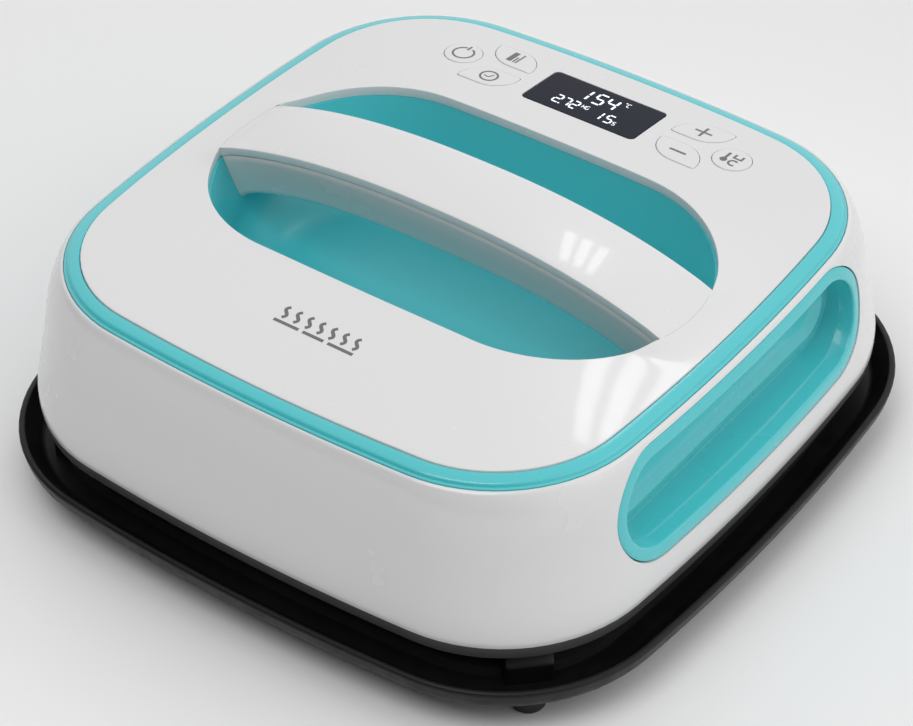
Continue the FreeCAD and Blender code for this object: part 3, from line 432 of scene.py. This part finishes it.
def make_tray():
    """Shallow dish: flat floor, leaning wall, rolled lip, and an outer wall that curves under."""
    floor = Z_TRAY + 3.0
    profile = [(40.0, floor), (16.0, floor)]
    foot, roll, drop = 3.0, 7.5, 8.5
    profile += [(11.0 - foot * math.sin(a), floor + foot * (1 - math.cos(a)))
                for a in np.linspace(0.1, 1.2, 6)]
    profile += [(3.1, Z_LIP - 1.4), (2.9, Z_LIP - 0.5), (2.5, Z_LIP - 0.1), (2.0, Z_LIP)]
    profile += [(0.8, Z_LIP - 0.15), (0.25, Z_LIP - 0.6), (0.05, Z_LIP - 1.3), (0.35, Z_LIP - 2.6)]
    profile += [(0.6 + roll * (1 - math.cos(a)), Z_LIP - 2.6 - drop * math.sin(a))
                for a in np.linspace(0.15, 1.45, 9)]
    profile += [(12.0, Z_TRAY + 0.06), (40.0, Z_TRAY)]
    points, faces = join_rings([tray_ring(d, z) for d, z in profile])
    make_mesh("tray_shell", points, faces, BLACK, "base", replaces=("safety_tray",))


def make_rests():
    """Corner blades: a rounded block whose top slopes down towards the outside."""
    low, high = span("corner_rests")
    reach = 117.6 * math.sqrt(2)
    half, deep, corner, slope = 9.5, 2.5, 1.2, 0.9
    for index, turn in enumerate((45, 135, 225, 315)):
        angle = math.radians(turn)
        out = np.array([math.cos(angle), math.sin(angle)])
        side = np.array([-out[1], out[0]])
        loop = []
        for su, sv, start in ((1, 1, 0), (-1, 1, 90), (-1, -1, 180), (1, -1, 270)):
            cu, cv = su * (half - corner), sv * (deep - corner)
            for a in np.linspace(math.radians(start), math.radians(start + 90), 6):
                u, v = cu + corner * math.cos(a), cv + corner * math.sin(a)
                loop.append(out * (reach + v) + side * u)
        loop = np.array(loop)
        middle = loop.mean(0)

        def ramp(drop):
            return lambda x, y: high[2] - drop - slope * max(np.dot((x, y), out) - reach + deep, 0.0)

        rings = [at_height(loop, low[2]), at_height(loop, ramp(1.0))]
        for inward, drop in ((0.3, 0.35), (1.0, 0.0)):
            shrunk = middle + (loop - middle) * (1 - inward / np.linalg.norm(loop - middle, axis=1))[:, None]
            rings.append(at_height(shrunk, ramp(drop)))
        points, faces = join_rings(rings)
        piece = make_mesh(f"corner_rest_{index + 1}", points, faces, BLACK, "base")
        if index == 0:
            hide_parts("corner_rests")


def lathe(name, profile, x, y, material, body, count=48):
    """A turned piece about an upright axis; profile is (radius, height) from one end to the other."""
    turn = np.linspace(0, 2 * PI, count, endpoint=False)
    rings = [[(x + r * math.cos(a), y + r * math.sin(a), z) for a in turn] for r, z in profile]
    points, faces = join_rings(rings)
    return make_mesh(name, points, faces, material, body)


def make_feet():
    place = 116.5
    top = span("rubber_feet")[1][2]
    profile = [(2.2, 5.0), (4.2, 5.0), (4.2, 0.3), (4.5, 0.0), (5.9, 0.0), (6.5, 0.25), (6.9, 0.9),
               (7.0, 1.8), (6.9, 8.0), (7.0, top), (2.2, top)]
    for index, (sx, sy) in enumerate(((1, 1), (-1, 1), (-1, -1), (1, -1))):
        foot = lathe(f"foot_{index + 1}", profile, sx * place, sy * place, MATERIALS["silicone"], "base")
        if index == 0:
            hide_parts("rubber_feet")


# ------------------------------------------------------------------ body shell, frame, ring

def stadium_loop(radius, straight, turn=14, run=20):
    """A rounded slot in y and z about its own middle, anticlockwise seen from +X."""
    half = straight / 2
    points = []
    for centre, start in ((half, -PI / 2), (-half, PI / 2)):
        for a in np.linspace(start, start + PI, turn * 2 + 1):
            points.append((centre + radius * math.cos(a), radius * math.sin(a)))
        sign = 1 if centre > 0 else -1
        for t in np.linspace(0, 1, run + 1)[1:-1]:
            points.append((centre - 2 * centre * t, sign * radius))
    return points


GRIP_LOW, GRIP_HIGH = span("side_grip_right")
GRIP_Z = (GRIP_LOW[2] + GRIP_HIGH[2]) / 2
GRIP_RADIUS = (GRIP_HIGH[2] - GRIP_LOW[2]) / 2
GRIP_STRAIGHT = GRIP_HIGH[1] - GRIP_LOW[1] - 2 * GRIP_RADIUS


def shell_x(y, z):
    """Half width of the flared body at a height, at a distance y from the middle."""
    return shell_outline(z).x_at(y)


def make_shell():
    wall = 2.8
    profile = [(wall, Z_SHELL), (0.5, Z_SHELL), (0.12, Z_SHELL + 0.12), (0, Z_SHELL + 0.5)]
    profile += [(0, z) for z in np.linspace(Z_SHELL + 3, Z_BROW - 1.1, 22)]
    profile += [(0.18, Z_BROW - 0.4), (0.5, Z_BROW - 0.08), (0.85, Z_BROW), (1.12, Z_BROW - 0.12),
                (1.2, Z_BROW - 0.4), (1.2, Z_RING - 0.05), (wall, Z_RING - 0.05)]
    profile += [(wall, z) for z in np.linspace(Z_RING - 8, Z_SHELL + 8, 8)]
    rings = [at_height(shell_outline(z).inset(d).loop(), z) for d, z in profile]
    points, faces = join_rings(rings, closed_section=True)
    shell = make_mesh("shell", points, faces, WHITE, "press", replaces=("body_shell",))
    cutters = []
    for side in (1, -1):
        loop = stadium_loop(GRIP_RADIUS + 0.18, GRIP_STRAIGHT)
        rings = [[(side * x, y, GRIP_Z + z) for y, z in loop] for x in (112.0, 150.0)]
        points, faces = join_rings(rings)
        cutters.append(make_mesh(f"grip_cutter_{side}", points, faces, WHITE, None))
    carve(shell, cutters)


def make_frame():
    """Dark frame under the shell, set back a little, holding the heating plate."""
    top = Z_SHELL - 0.05
    profile = [(0.9, top), (1.0, Z_FRAME + 0.8), (1.3, Z_FRAME + 0.2), (1.9, Z_FRAME)]
    outer = [at_height(FOOT.inset(d).loop(), z) for d, z in profile]
    hole = ((0.6, Z_FRAME), (0.0, Z_FRAME + 0.6), (0.0, top))
    inner = [at_height(HEAT.inset(-2.2 - d).loop(), z) for d, z in hole]
    points, faces = join_rings(outer + inner, closed_section=True)
    make_mesh("bottom_frame_ring", points, faces, MATERIALS["frame_plastic"], "press",
              replaces=("bottom_frame",))


def make_plate():
    low, high = span("heating_plate")
    edge = 0.8
    profile = [(60, low[2]), (1.4, low[2])] + [(edge - s, low[2] + edge - c) for s, c in fillet(edge, 5)]
    profile += [(0, high[2] - 1.0), (0.4, high[2] - 0.4), (1.0, high[2]), (60, high[2])]
    points, faces = join_rings([at_height(HEAT.inset(d).loop(), z) for d, z in profile])
    make_mesh("hot_plate", points, faces, MATERIALS["plate_aluminium"], "press", replaces=("heating_plate",))


def make_ring():
    """Trim ring: a low step at the outside, a rounded shoulder and a face that rises to the cover."""
    base = Z_RING
    profile = [(1.5, 0), (0.1, 0), (0.0, 0.2), (0.0, 1.2), (0.15, 1.45), (0.5, 1.6), (1.15, 1.7), (1.3, 1.95),
               (1.45, 2.5), (1.9, 2.95), (2.6, 3.2), (4.4, 3.72), (5.6, 4.0)]
    seat = [(-0.55, 4.05), (-0.22, 3.7), (-0.2, 1.1), (4.5, 1.1), (4.5, 0)]
    outer = [at_height(RING.inset(d).loop(), base + z) for d, z in profile]
    inner = [at_height(PLATE.inset(d).loop(), base + z) for d, z in seat]
    points, faces = join_rings(outer + inner, closed_section=True)
    make_mesh("trim_ring_moulding", points, faces, TURQUOISE, "press", replaces=("trim_ring",))


def grip_ring(radius, x, side):
    """One ring of a side grip; x is a depth behind the shell's face, or a fixed distance when negative."""
    ring = []
    for y, z in stadium_loop(radius, GRIP_STRAIGHT):
        face = shell_x(y, GRIP_Z + z)
        ring.append((side * (-x if x < 0 else face - x), y, GRIP_Z + z))
    return ring


def make_side_grips():
    """Flush bezel, rounded inner edge, drafted cup and a back wall with a raised fold all round it."""
    outer, inner = GRIP_RADIUS - 0.3, GRIP_RADIUS - 5.6
    back = GRIP_LOW[0]
    cup = [(outer, 9.0), (outer, 0.85), (outer - 0.12, 0.5), (outer - 0.45, 0.34), (outer - 1.5, 0.25),
           (inner + 1.2, 0.22)]
    cup += [(inner + 1.2 - s, 0.22 + 1.2 - c) for s, c in fillet(1.2, 6)[1:]]
    cup += [(inner - 0.1, 6.2), (inner - 0.45, 6.9), (inner - 0.6, 7.6)]
    fold = [(0.9, 4.9), (1.1, 4.5), (1.6, 4.3), (4.5, 5.0), (7.9, 6.0), (8.3, 6.05), (8.7, 5.8), (12.4, 3.5),
            (12.9, 3.3), (18.3, 2.9)]
    steps = [(inner - depth, -(back + rise)) for depth, rise in fold]
    behind = [(inner - 18.3, -back), (inner + 1.5, -back), (inner + 2.4, -(back + 1.0)),
              (inner + 2.4, -(back + 8.0)), (outer - 2.5, -(back + 10.0))]
    for side, node in ((1, "side_grip_right"), (-1, "side_grip_left")):
        points, faces = join_rings([grip_ring(r, x, side) for r, x in behind + cup + steps])
        make_mesh(f"{node}_cup", points, faces, TURQUOISE, "press", replaces=(node,))


# ------------------------------------------------------------------ top cover and handle

STRIP_ROWS = 16
STRIP_COLUMNS = 84
ARC_STEPS = 76
PLATE_RINGS = (0.0, 0.012, 0.035, 0.08, 0.15, 0.24, 0.34, 0.44, 0.54, 0.64, 0.73, 0.81, 0.88, 0.94, 0.975,
               1.0)
LIP_DROP = 4.4
SHEET = 3.0


def resample(points, count):
    """Even points along a polyline, ends included."""
    points = np.array(points)
    length = np.concatenate([[0], np.cumsum(np.linalg.norm(np.diff(points, axis=0), axis=1))])
    place = np.linspace(0, length[-1], count + 1)
    return np.column_stack([np.interp(place, length, points[:, k]) for k in range(2)])


def divided_loop(outline, half):
    """A loop whose two ends, |y| up to half, have even rows in y, with even steps over the back and front."""
    right = [(outline.x_at(y), y) for y in np.linspace(-half, half, STRIP_ROWS + 1)]
    dense = outline.loop(60, 80, 60)
    over = [p for p in dense if p[1] > half + 1e-6]
    over.sort(key=lambda p: -p[0])
    over = resample([right[-1]] + over + [(-right[-1][0], half)], ARC_STEPS)
    loop = [*right, *over[1:-1], *[(-x, -y) for x, y in right], *[(-x, -y) for x, y in over[1:-1]]]
    return np.array(loop)


def make_cover():
    """Plate and upper handle in one moulding, with a hole in front of and behind the handle."""
    inner = divided_loop(BOWL, HANDLE_HALF)
    outer = divided_loop(PLATE, 44.0)
    size = len(inner)
    top, bottom, faces = [], [], []
    for t in PLATE_RINGS:
        ring = inner * (1 - t) + outer * t
        drop = LIP_DROP if t < 0.05 else SHEET
        for x, y in ring:
            z = top_surface(x, y)
            top.append((x, y, z))
            bottom.append((x, y, Z_COVER if t == 1.0 else max(z - drop, Z_COVER)))
    for k in range(len(PLATE_RINGS) - 1):
        for i in range(size):
            j = (i + 1) % size
            faces.append((k * size + i, k * size + j, (k + 1) * size + j, (k + 1) * size + i))
    rows = STRIP_ROWS + 1
    half_turn = size // 2
    columns = [list(range(rows))]
    for c in range(1, STRIP_COLUMNS):
        column = []
        for j in range(rows):
            right, left = inner[j], inner[half_turn + rows - 1 - j]
            x = right[0] + (left[0] - right[0]) * (1 - math.cos(PI * c / STRIP_COLUMNS)) / 2
            z = top_surface(x, right[1])
            column.append(len(top))
            top.append((x, right[1], z))
            bottom.append((x, right[1], z - 3.6 - 0.8 * smooth(abs(x), 100, 108)))
        columns.append(column)
    columns.append([half_turn + rows - 1 - j for j in range(rows)])
    for c in range(STRIP_COLUMNS):
        for j in range(rows - 1):
            faces.append((columns[c][j], columns[c][j + 1], columns[c + 1][j + 1], columns[c + 1][j]))
    shift = len(top)
    edges = open_edges(faces)
    walls = [(a, b, b + shift, a + shift) for a, b in edges]
    below = [tuple(v + shift for v in reversed(face)) for face in faces]
    cover = make_mesh("cover", top + bottom, faces + below + walls, WHITE, "press", 30.0,
                      replaces=("top_cover",))
    bevel(cover, 0.55, 3, 50.0)
    low, high = Z_COVER - 5, Z_COVER + 20
    cutters = [prism_cutter(f"cut_{name}", loop, low, high) for name, loop in panel_loops(0.22)]
    carve(cover, cutters, 40.0)


def open_edges(faces):
    """The directed edges that belong to one face only."""
    directed = set()
    for face in faces:
        for a, b in zip(face, face[1:] + face[:1]):
            directed.add((a, b))
    return [(a, b) for a, b in directed if (b, a) not in directed]


# The recess wall: the height and spread of its rounded foot, how far in the wall stands there, and its draft.
FOOT_RISE, FOOT_SPREAD, WALL_INSET, WALL_DRAFT = 18.0, 24.9, 8.1, 14.0
MOUTH_STEPS = (18, 24, 26)


def recess_inset(z):
    """How far the wall of the hand recess stands inside the recess's mouth at a height."""
    turn = Z_FLOOR + FOOT_RISE
    if z >= turn:
        return WALL_INSET - (z - turn) * WALL_DRAFT / (CREST - turn)
    sine = min(max(1 - (z - Z_FLOOR) / FOOT_RISE, 0.0), 1.0)
    return WALL_INSET + FOOT_SPREAD * (1 - math.sqrt(1 - sine ** 2))


def make_recess():
    """Turquoise liner: drafted wall, a wide rounded foot and a flat floor."""
    def rings(wall):
        result = []
        for s in np.linspace(0, 1, 5):
            ring = []
            for x, y in BOWL.loop(*MOUTH_STEPS):
                lip = top_surface(x, y) - LIP_DROP - 0.02
                z = lip + (Z_FLOOR + FOOT_RISE - lip) * s
                shrink = BOWL.inset(recess_inset(z) - wall)
                ring.append((x, y, z, shrink))
            result.append([(*scale_to(p[0], p[1], p[3]), p[2]) for p in ring])
        for turn in np.linspace(0, PI / 2, 10)[1:]:
            z = Z_FLOOR + FOOT_RISE * (1 - math.sin(turn)) - wall * math.sin(turn)
            shrunk = BOWL.inset(WALL_INSET + FOOT_SPREAD * (1 - math.cos(turn)) - wall)
            result.append(at_height(shrunk.loop(*MOUTH_STEPS), z))
        return result
    inside, outside = rings(0.0), rings(2.2)
    points, faces = join_rings(outside[::-1] + inside)
    make_mesh("recess_liner", points, faces, MATERIALS["liner_plastic"], "press", 40.0,
              replaces=("hand_recess",))


def mouth_key(x, y):
    return round(float(x), 6), round(float(y), 6)


LOOP_CACHE = {}
MOUTH_INDEX = {mouth_key(x, y): i for i, (x, y) in enumerate(BOWL.loop(*MOUTH_STEPS))}


def scale_to(x, y, outline):
    """The point of a shrunken outline that matches a point of the recess's mouth."""
    key = round(outline.half_x, 4)
    if key not in LOOP_CACHE:
        LOOP_CACHE[key] = outline.loop(*MOUTH_STEPS)
    return LOOP_CACHE[key][MOUTH_INDEX[mouth_key(x, y)]]


def wall_x(y, z):
    """Where the recess's end wall is, just clear of the handle."""
    return BOWL.inset(recess_inset(z)).x_at(y) - 0.12


def grip_section(x):
    """The handle's lower shell at one place along it: sides that pull in and a rounded sole."""
    top, sole = crease(x) - 3.95, heel(x)
    corner = 3.4
    side = []
    for t in np.linspace(0, 1, 7):
        side.append((HANDLE_HALF - 0.28 - 2.7 * t ** 1.4, top + (sole + corner - top) * t))
    inner = side[-1][0]
    for a in np.linspace(0, PI / 2, 7)[1:]:
        side.append((inner - 4.2 * (1 - math.cos(a)), sole + corner - corner * math.sin(a)))
    crown = [(HANDLE_HALF - 1.2, top + 0.35), (HANDLE_HALF - 0.5, top + 0.28)]
    right = crown + side
    return [(y, z) for y, z in right] + [(-y, z) for y, z in right[::-1]]


def make_handle():
    """Lower handle shell between the recess's end walls, its ends following the walls."""
    rings = []
    for s in np.linspace(-1, 1, 73):
        eased = math.sin(s * PI / 2) * 0.35 + s * 0.65
        ring = []
        for k in range(len(grip_section(0))):
            x = eased * 104.0
            for _ in range(6):
                y, z = grip_section(x)[k]
                flare = 2.6 * math.exp(-max(wall_x(y, z) - abs(x), 0.0) / 3.0)
                share = min(max((crease(x) - 6 - z) / 14.0, 0.0), 1.0)
                z -= flare * share
                x = eased * wall_x(y, z)
            ring.append((x, y, z))
        rings.append(ring)
    points, faces = join_rings(rings)
    # The handle shell takes the plastic with the painted tint against the bowl's turquoise bounce light.
    make_mesh("handle_shell", points, faces, MATERIALS["handle_plastic"], "press", 50.0,
              replaces=("handle_grip",))


# ------------------------------------------------------------------ display and buttons

PANEL_Y = 95.7
LEAF = (23.6, 14.2)
ROUND_BUTTON = 8.3
BUTTON_PROUD = 0.32


def corner_loop(width, height, radii, grow=0.0, steps=9):
    """A rectangle about the origin with radii given from upper right, anticlockwise."""
    a, b = width / 2 + grow, height / 2 + grow
    loop = []
    for (sx, sy), radius, start in zip(((1, 1), (-1, 1), (-1, -1), (1, -1)), radii, (0, 90, 180, 270)):
        r = radius + grow
        for angle in np.linspace(math.radians(start), math.radians(start + 90), steps):
            loop.append((sx * (a - r) + r * math.cos(angle), sy * (b - r) + r * math.sin(angle)))
    return np.array(loop)


def circle_loop(radius, grow=0.0, steps=56):
    turn = np.linspace(0, 2 * PI, steps, endpoint=False)
    return np.column_stack([np.cos(turn), np.sin(turn)]) * (radius + grow)


BLUNT, POINT = 12.6, 1.4
ONE_WAY, OTHER_WAY = (BLUNT, POINT, BLUNT, POINT), (POINT, BLUNT, POINT, BLUNT)
BUTTONS = {
    "button_preset": (-47.4, 106.3, ONE_WAY),
    "button_timer": (-47.4, 86.6, OTHER_WAY),
    "button_plus": (47.4, 106.3, OTHER_WAY),
    "button_minus": (47.4, 86.6, ONE_WAY),
    "button_power": (-67.6, 96.0, None),
    "button_unit": (67.6, 96.0, None),
}


def button_loop(node, grow=0.0):
    x, y, corners = BUTTONS[node]
    loop = corner_loop(*LEAF, corners, grow) if corners else circle_loop(ROUND_BUTTON, grow)
    return loop + (x, y)


def display_loop(grow=0.0):
    return corner_loop(56.0, 27.4, (2.4,) * 4, grow) + (0, PANEL_Y)


def panel_loops(grow):
    return [(node, button_loop(node, grow)) for node in BUTTONS] + [("display", display_loop(grow))]


def make_cap(name, loop_at, low, proud, material, body, replaces, edge=0.45):
    """A flush part whose top follows the dome: side, rounded edge, then rings that close on the middle."""
    centre = loop_at(0.0).mean(0)
    rings = [at_height(loop_at(-0.02), low)]
    rings.append([(x, y, dome(x, y) + proud - edge) for x, y in loop_at(-0.02)])
    for s, c in fillet(edge, 5)[1:]:
        rings.append([(x, y, dome(x, y) + proud - edge + s) for x, y in loop_at(-0.02 - (edge - c))])
    inner = loop_at(-edge - 0.3)
    for share in (1.0, 0.8, 0.6, 0.4, 0.2, 0.06):
        ring = centre + (inner - centre) * share
        rings.append([(x, y, dome(x, y) + proud) for x, y in ring])
    points, faces = join_rings(rings)
    return make_mesh(name, points, faces, material, body, replaces=replaces)


def make_buttons():
    for node in BUTTONS:
        make_cap(f"{node}_cap", lambda grow, n=node: button_loop(n, grow), Z_COVER + 0.4, BUTTON_PROUD, WHITE,
                 node, (node,))


def make_display():
    make_cap("display_pane", display_loop, Z_COVER + 1.5, 0.02, MATERIALS["dark_glass"], "press",
             ("display_window",), 0.35)


# ------------------------------------------------------------------ printing: icons, digits, front mark

def ribbon(path, width, closed=False):
    """A flat stroke along a path: a strip of quads as wide as width, with square ends."""
    path = np.array(path, float)
    ahead, behind = np.roll(path, -1, axis=0), np.roll(path, 1, axis=0)
    if not closed:
        ahead[-1], behind[0] = path[-1], path[0]
    along = ahead - behind
    along /= np.linalg.norm(along, axis=1)[:, None]
    across = np.column_stack([-along[:, 1], along[:, 0]]) * width / 2
    points = np.vstack([path + across, path - across])
    count = len(path)
    spans = count if closed else count - 1
    faces = [(i, (i + 1) % count, (i + 1) % count + count, i + count) for i in range(spans)]
    return points, faces


def arc_path(cx, cy, radius, start, stop, steps=24):
    turn = np.radians(np.linspace(start, stop, steps))
    return np.column_stack([cx + radius * np.cos(turn), cy + radius * np.sin(turn)])


def line_path(x0, y0, x1, y1, steps=6):
    return np.column_stack([np.linspace(x0, x1, steps), np.linspace(y0, y1, steps)])


def disc(cx, cy, radius, steps=24):
    points = np.vstack([[(cx, cy)], arc_path(cx, cy, radius, 0, 360, steps + 1)[:-1]])
    return points, [(0, i + 1, (i + 1) % steps + 1) for i in range(steps)]


def print_on(name, strokes, height, material, body, thick=0.04):
    """Flat printing: every stroke lifted to the surface under it, as a thin closed film."""
    points, faces = [], []
    for flat, quads in strokes:
        base, count = len(points), len(flat)
        for lift in (thick, -0.15):
            points += [(x, y, height(x, y) + lift) for x, y in flat]
        faces += [tuple(base + v for v in f) for f in quads]
        faces += [tuple(base + count + v for v in reversed(f)) for f in quads]
        faces += [(base + b, base + a, base + a + count, base + b + count) for a, b in open_edges(quads)]
    return make_mesh(name, points, faces, material, body, 40.0)


def moved(strokes, centre):
    return [(np.array(flat) + centre, quads) for flat, quads in strokes]


def icon_strokes():
    """The six icons about their own middles."""
    pen = 0.95
    power = [ribbon(arc_path(0, 0, 4.6, 102, 426, 44), pen), ribbon(line_path(0, 2.9, 0, 6.3), pen)]
    clock = [ribbon(arc_path(0, 0, 3.8, 0, 360, 41)[:-1], pen, True),
             ribbon(line_path(0.2, -0.9, -2.2, -0.4), 0.7), ribbon(line_path(0.2, -0.9, 1.5, 1.8), 0.7)]
    preset = [ribbon(line_path(-1.8, -3.6, -1.8, 4.4), 2.5), ribbon(line_path(0.6, -3.6, 0.6, 1.2), 0.8),
              ribbon(line_path(2.0, -3.6, 2.0, 4.4), 0.8)]
    plus = [ribbon(line_path(-4.0, 0, 4.0, 0), 1.15), ribbon(line_path(0, 0.6, 0, 3.9), 1.15),
            ribbon(line_path(0, -3.9, 0, -0.6), 1.15)]
    minus = [ribbon(line_path(-3.9, 0, 3.9, 0), 1.25)]
    unit = [disc(-2.9, -2.1, 1.6), ribbon(line_path(-2.9, -1.0, -2.9, 3.9), 1.2),
            ribbon(line_path(-0.5, 1.4, 3.9, 1.4), 1.0), ribbon(line_path(0.0, 1.9, 0.0, 4.2), 1.0),
            ribbon(line_path(3.4, 1.9, 3.4, 4.2), 1.0), ribbon(arc_path(1.8, -2.4, 1.9, 50, 310, 18), 1.0)]
    return {"button_power": power, "button_timer": clock, "button_preset": preset, "button_plus": plus,
            "button_minus": minus, "button_unit": unit}


def make_icons():
    for node, strokes in icon_strokes().items():
        x, y, _ = BUTTONS[node]
        print_on(f"{node}_icon", moved(strokes, (x, y)), lambda u, v: dome(u, v) + BUTTON_PROUD,
                 MATERIALS["print_grey"], node)


# Each bar of a figure from x0, y0 to x1, y1 in a unit box, and the bars that each figure lights.
SEGMENTS = {"a": (0, 1, 1, 1), "b": (1, 0.5, 1, 1), "c": (1, 0, 1, 0.5), "d": (0, 0, 1, 0),
            "e": (0, 0, 0, 0.5), "f": (0, 0.5, 0, 1), "g": (0, 0.5, 1, 0.5)}
LIT = {"1": "ef", "2": "abged", "4": "fgbc", "5": "afgcd", "7": "abc", "C": "afed", "K": "fegbc",
       "G": "afedc"}


def digit(character, x, y, height, pen):
    """One seven-segment figure of separate bars."""
    width, gap = height * 0.50, 0.10
    strokes = []
    for name in LIT[character]:
        x0, y0, x1, y1 = SEGMENTS[name]
        dx, dy = (x1 - x0) * gap, (y1 - y0) * gap * 1.2
        ends = [(x + u * width, y + v * height) for u, v in ((x0 + dx, y0 + dy), (x1 - dx, y1 - dy))]
        strokes.append(ribbon(line_path(*ends[0], *ends[1], 3), pen))
    return strokes


def number(text, x, y, height, pen):
    strokes = []
    for character in text:
        if character == ".":
            strokes.append(disc(x - height * 0.10, y, pen * 0.62, 10))
        else:
            strokes += digit(character, x, y, height, pen)
            x += height * (0.40 if character == "1" else 0.70)
    return strokes


def make_digits():
    """Temperature above, load and time below, with small unit signs."""
    strokes = number("154", -5.8, PANEL_Y + 0.9, 8.4, 0.95) + number("2.72", -16.1, PANEL_Y - 8.3, 6.0, 0.75)
    strokes += number("15", 7.6, PANEL_Y - 8.9, 6.1, 0.75) + number("5", 14.3, PANEL_Y - 8.9, 2.5, 0.36)
    strokes += number("C", 11.2, PANEL_Y + 7.2, 2.7, 0.36) + number("KG", -3.0, PANEL_Y - 5.4, 2.6, 0.36)
    strokes.append(disc(10.2, PANEL_Y + 9.8, 0.4, 12))
    print_on("display_digits", strokes, lambda x, y: dome(x, y) + 0.02, MATERIALS["digit_glow"], "press",
             0.03)


def make_mark():
    """A generic sign for heat on the front of the cover: a row of rising waves over three bars."""
    strokes = [ribbon(line_path(x0, -4.2, x1, -4.2, 12), 1.5) for x0, x1 in ((-19, -7), (-5, 5), (7, 19))]
    for x in np.linspace(-17, 17, 7):
        t = np.linspace(0, 1, 16)
        strokes.append(ribbon(np.column_stack([x + 1.1 * np.sin(t * 2 * PI), -2.0 + 6.2 * t]), 1.5))
    print_on("front_mark", moved(strokes, (0, -89)), dome, MATERIALS["print_grey"], "press")


def make_gland():
    """Ribbed collar of the cord outlet, lying along Y in the back wall."""
    low, high = span("cord_gland")
    x, z = (low[0] + high[0]) / 2, (low[2] + high[2]) / 2
    y0, y1 = low[1], high[1]
    profile = [(4.1, y0), (7.0, y0), (7.0, y1 - 4.1), (9.4, y1 - 4.05), (9.9, y1 - 3.6), (9.9, y1 - 2.2),
               (9.5, y1 - 1.6), (7.2, y1 - 1.5), (6.9, y1 - 1.2), (6.6, y1 - 0.2), (6.2, y1), (4.6, y1),
               (4.1, y1 - 0.4)]
    turn = np.linspace(0, 2 * PI, 40, endpoint=False)
    rings = [[(x + r * math.cos(a), y, z + r * math.sin(a)) for a in turn] for r, y in profile]
    points, faces = join_rings(rings, closed_section=True)
    make_mesh("gland_collar", points, faces, MATERIALS["component"], "press", replaces=("cord_gland",))


# ------------------------------------------------------------------ stage, light, camera

def area_light(name, place, target, size, power, colour=(1, 1, 1), size_y=None):
    light = bpy.data.lights.new(name, "AREA")
    light.shape = "RECTANGLE"
    light.size, light.size_y = size, size_y or size
    light.energy = power
    light.color = colour
    obj = bpy.data.objects.new(name, light)
    obj.location = place
    obj.rotation_euler = (Vector(target) - Vector(place)).to_track_quat("-Z", "Y").to_euler()
    bpy.context.scene.collection.objects.link(obj)


def make_stage():
    mesh = bpy.data.meshes.new("floor")
    half = 6.0
    corners = [(-half, -half, 0), (half, -half, 0), (half, half, 0), (-half, half, 0)]
    mesh.from_pydata(corners, [], [(0, 1, 2, 3)])
    mesh.materials.append(MATERIALS["floor_paint"])
    floor = bpy.data.objects.new("floor", mesh)
    bpy.context.scene.collection.objects.link(floor)
    make_sky()
    area_light("key", (1.3, 0.35, 1.0), (0, 0, 0.07), 1.2, 2.6, (1, 0.995, 0.985))
    area_light("overhead", (0.05, -0.75, 1.45), (0, 0, 0.1), 0.9, 8.0)
    middle, pitch, pane = Vector((-0.25, 0.85, 1.15)), (0.062, 0.088), (0.036, 0.062)
    for column in range(3):
        for row in range(4):
            place = middle + Vector((pitch[0] * (column - 1), 0.0, pitch[1] * (row - 1.5)))
            area_light(f"window_{column}_{row}", place, (0.03, -0.04, 0.1), pane[0], 0.03, size_y=pane[1])


def make_sky():
    """An even bright studio that falls into shade towards the front."""
    world = bpy.data.worlds.new("studio")
    world.use_nodes = True
    nodes, links = world.node_tree.nodes, world.node_tree.links
    place = nodes.new("ShaderNodeTexCoord")
    towards = nodes.new("ShaderNodeVectorMath")
    towards.operation = "DOT_PRODUCT"
    towards.inputs[1].default_value = (-0.28, -0.95, -0.12)
    shade = nodes.new("ShaderNodeMapRange")
    shade.interpolation_type = "SMOOTHSTEP"
    shade.inputs["From Min"].default_value = -0.2
    shade.inputs["From Max"].default_value = 0.6
    mix = nodes.new("ShaderNodeMix")
    mix.data_type = "RGBA"
    mix.inputs["A"].default_value = (0.90, 0.90, 0.905, 1)
    mix.inputs["B"].default_value = (0.05, 0.05, 0.05, 1)
    links.new(place.outputs["Generated"], towards.inputs[0])
    links.new(towards.outputs["Value"], shade.inputs["Value"])
    links.new(shade.outputs["Result"], mix.inputs["Factor"])
    links.new(mix.outputs["Result"], nodes["Background"].inputs["Color"])
    bpy.context.scene.world = world
    bpy.context.scene.view_settings.view_transform = "Standard"


def make_camera():
    """The camera looks down at the front right corner from about 1.3 metres."""
    place = Vector((0.58708, -0.78574, 0.83749))
    forward = Vector((-0.46377, 0.61846, -0.63437))
    up = Vector((-0.36716, 0.51748, 0.77292))
    camera = bpy.data.cameras.new("camera")
    camera.lens = 121.19
    camera.sensor_width = 36.0
    camera.clip_end = 50.0
    obj = bpy.data.objects.new("camera", camera)
    right = forward.cross(up).normalized()
    up = right.cross(forward).normalized()
    obj.matrix_world = matrix_of(right, up, -forward.normalized(), place)
    bpy.context.scene.collection.objects.link(obj)
    bpy.context.scene.camera = obj


def matrix_of(x, y, z, place):
    return Matrix(((x[0], y[0], z[0], place[0]), (x[1], y[1], z[1], place[1]), (x[2], y[2], z[2], place[2]),
                   (0, 0, 0, 1)))


make_stage()
make_camera()
make_tray()
make_rests()
make_feet()
make_shell()
make_frame()
make_plate()
make_ring()
make_side_grips()
make_cover()
make_recess()
make_handle()
make_buttons()
make_display()
make_icons()
make_digits()
make_mark()
make_gland()
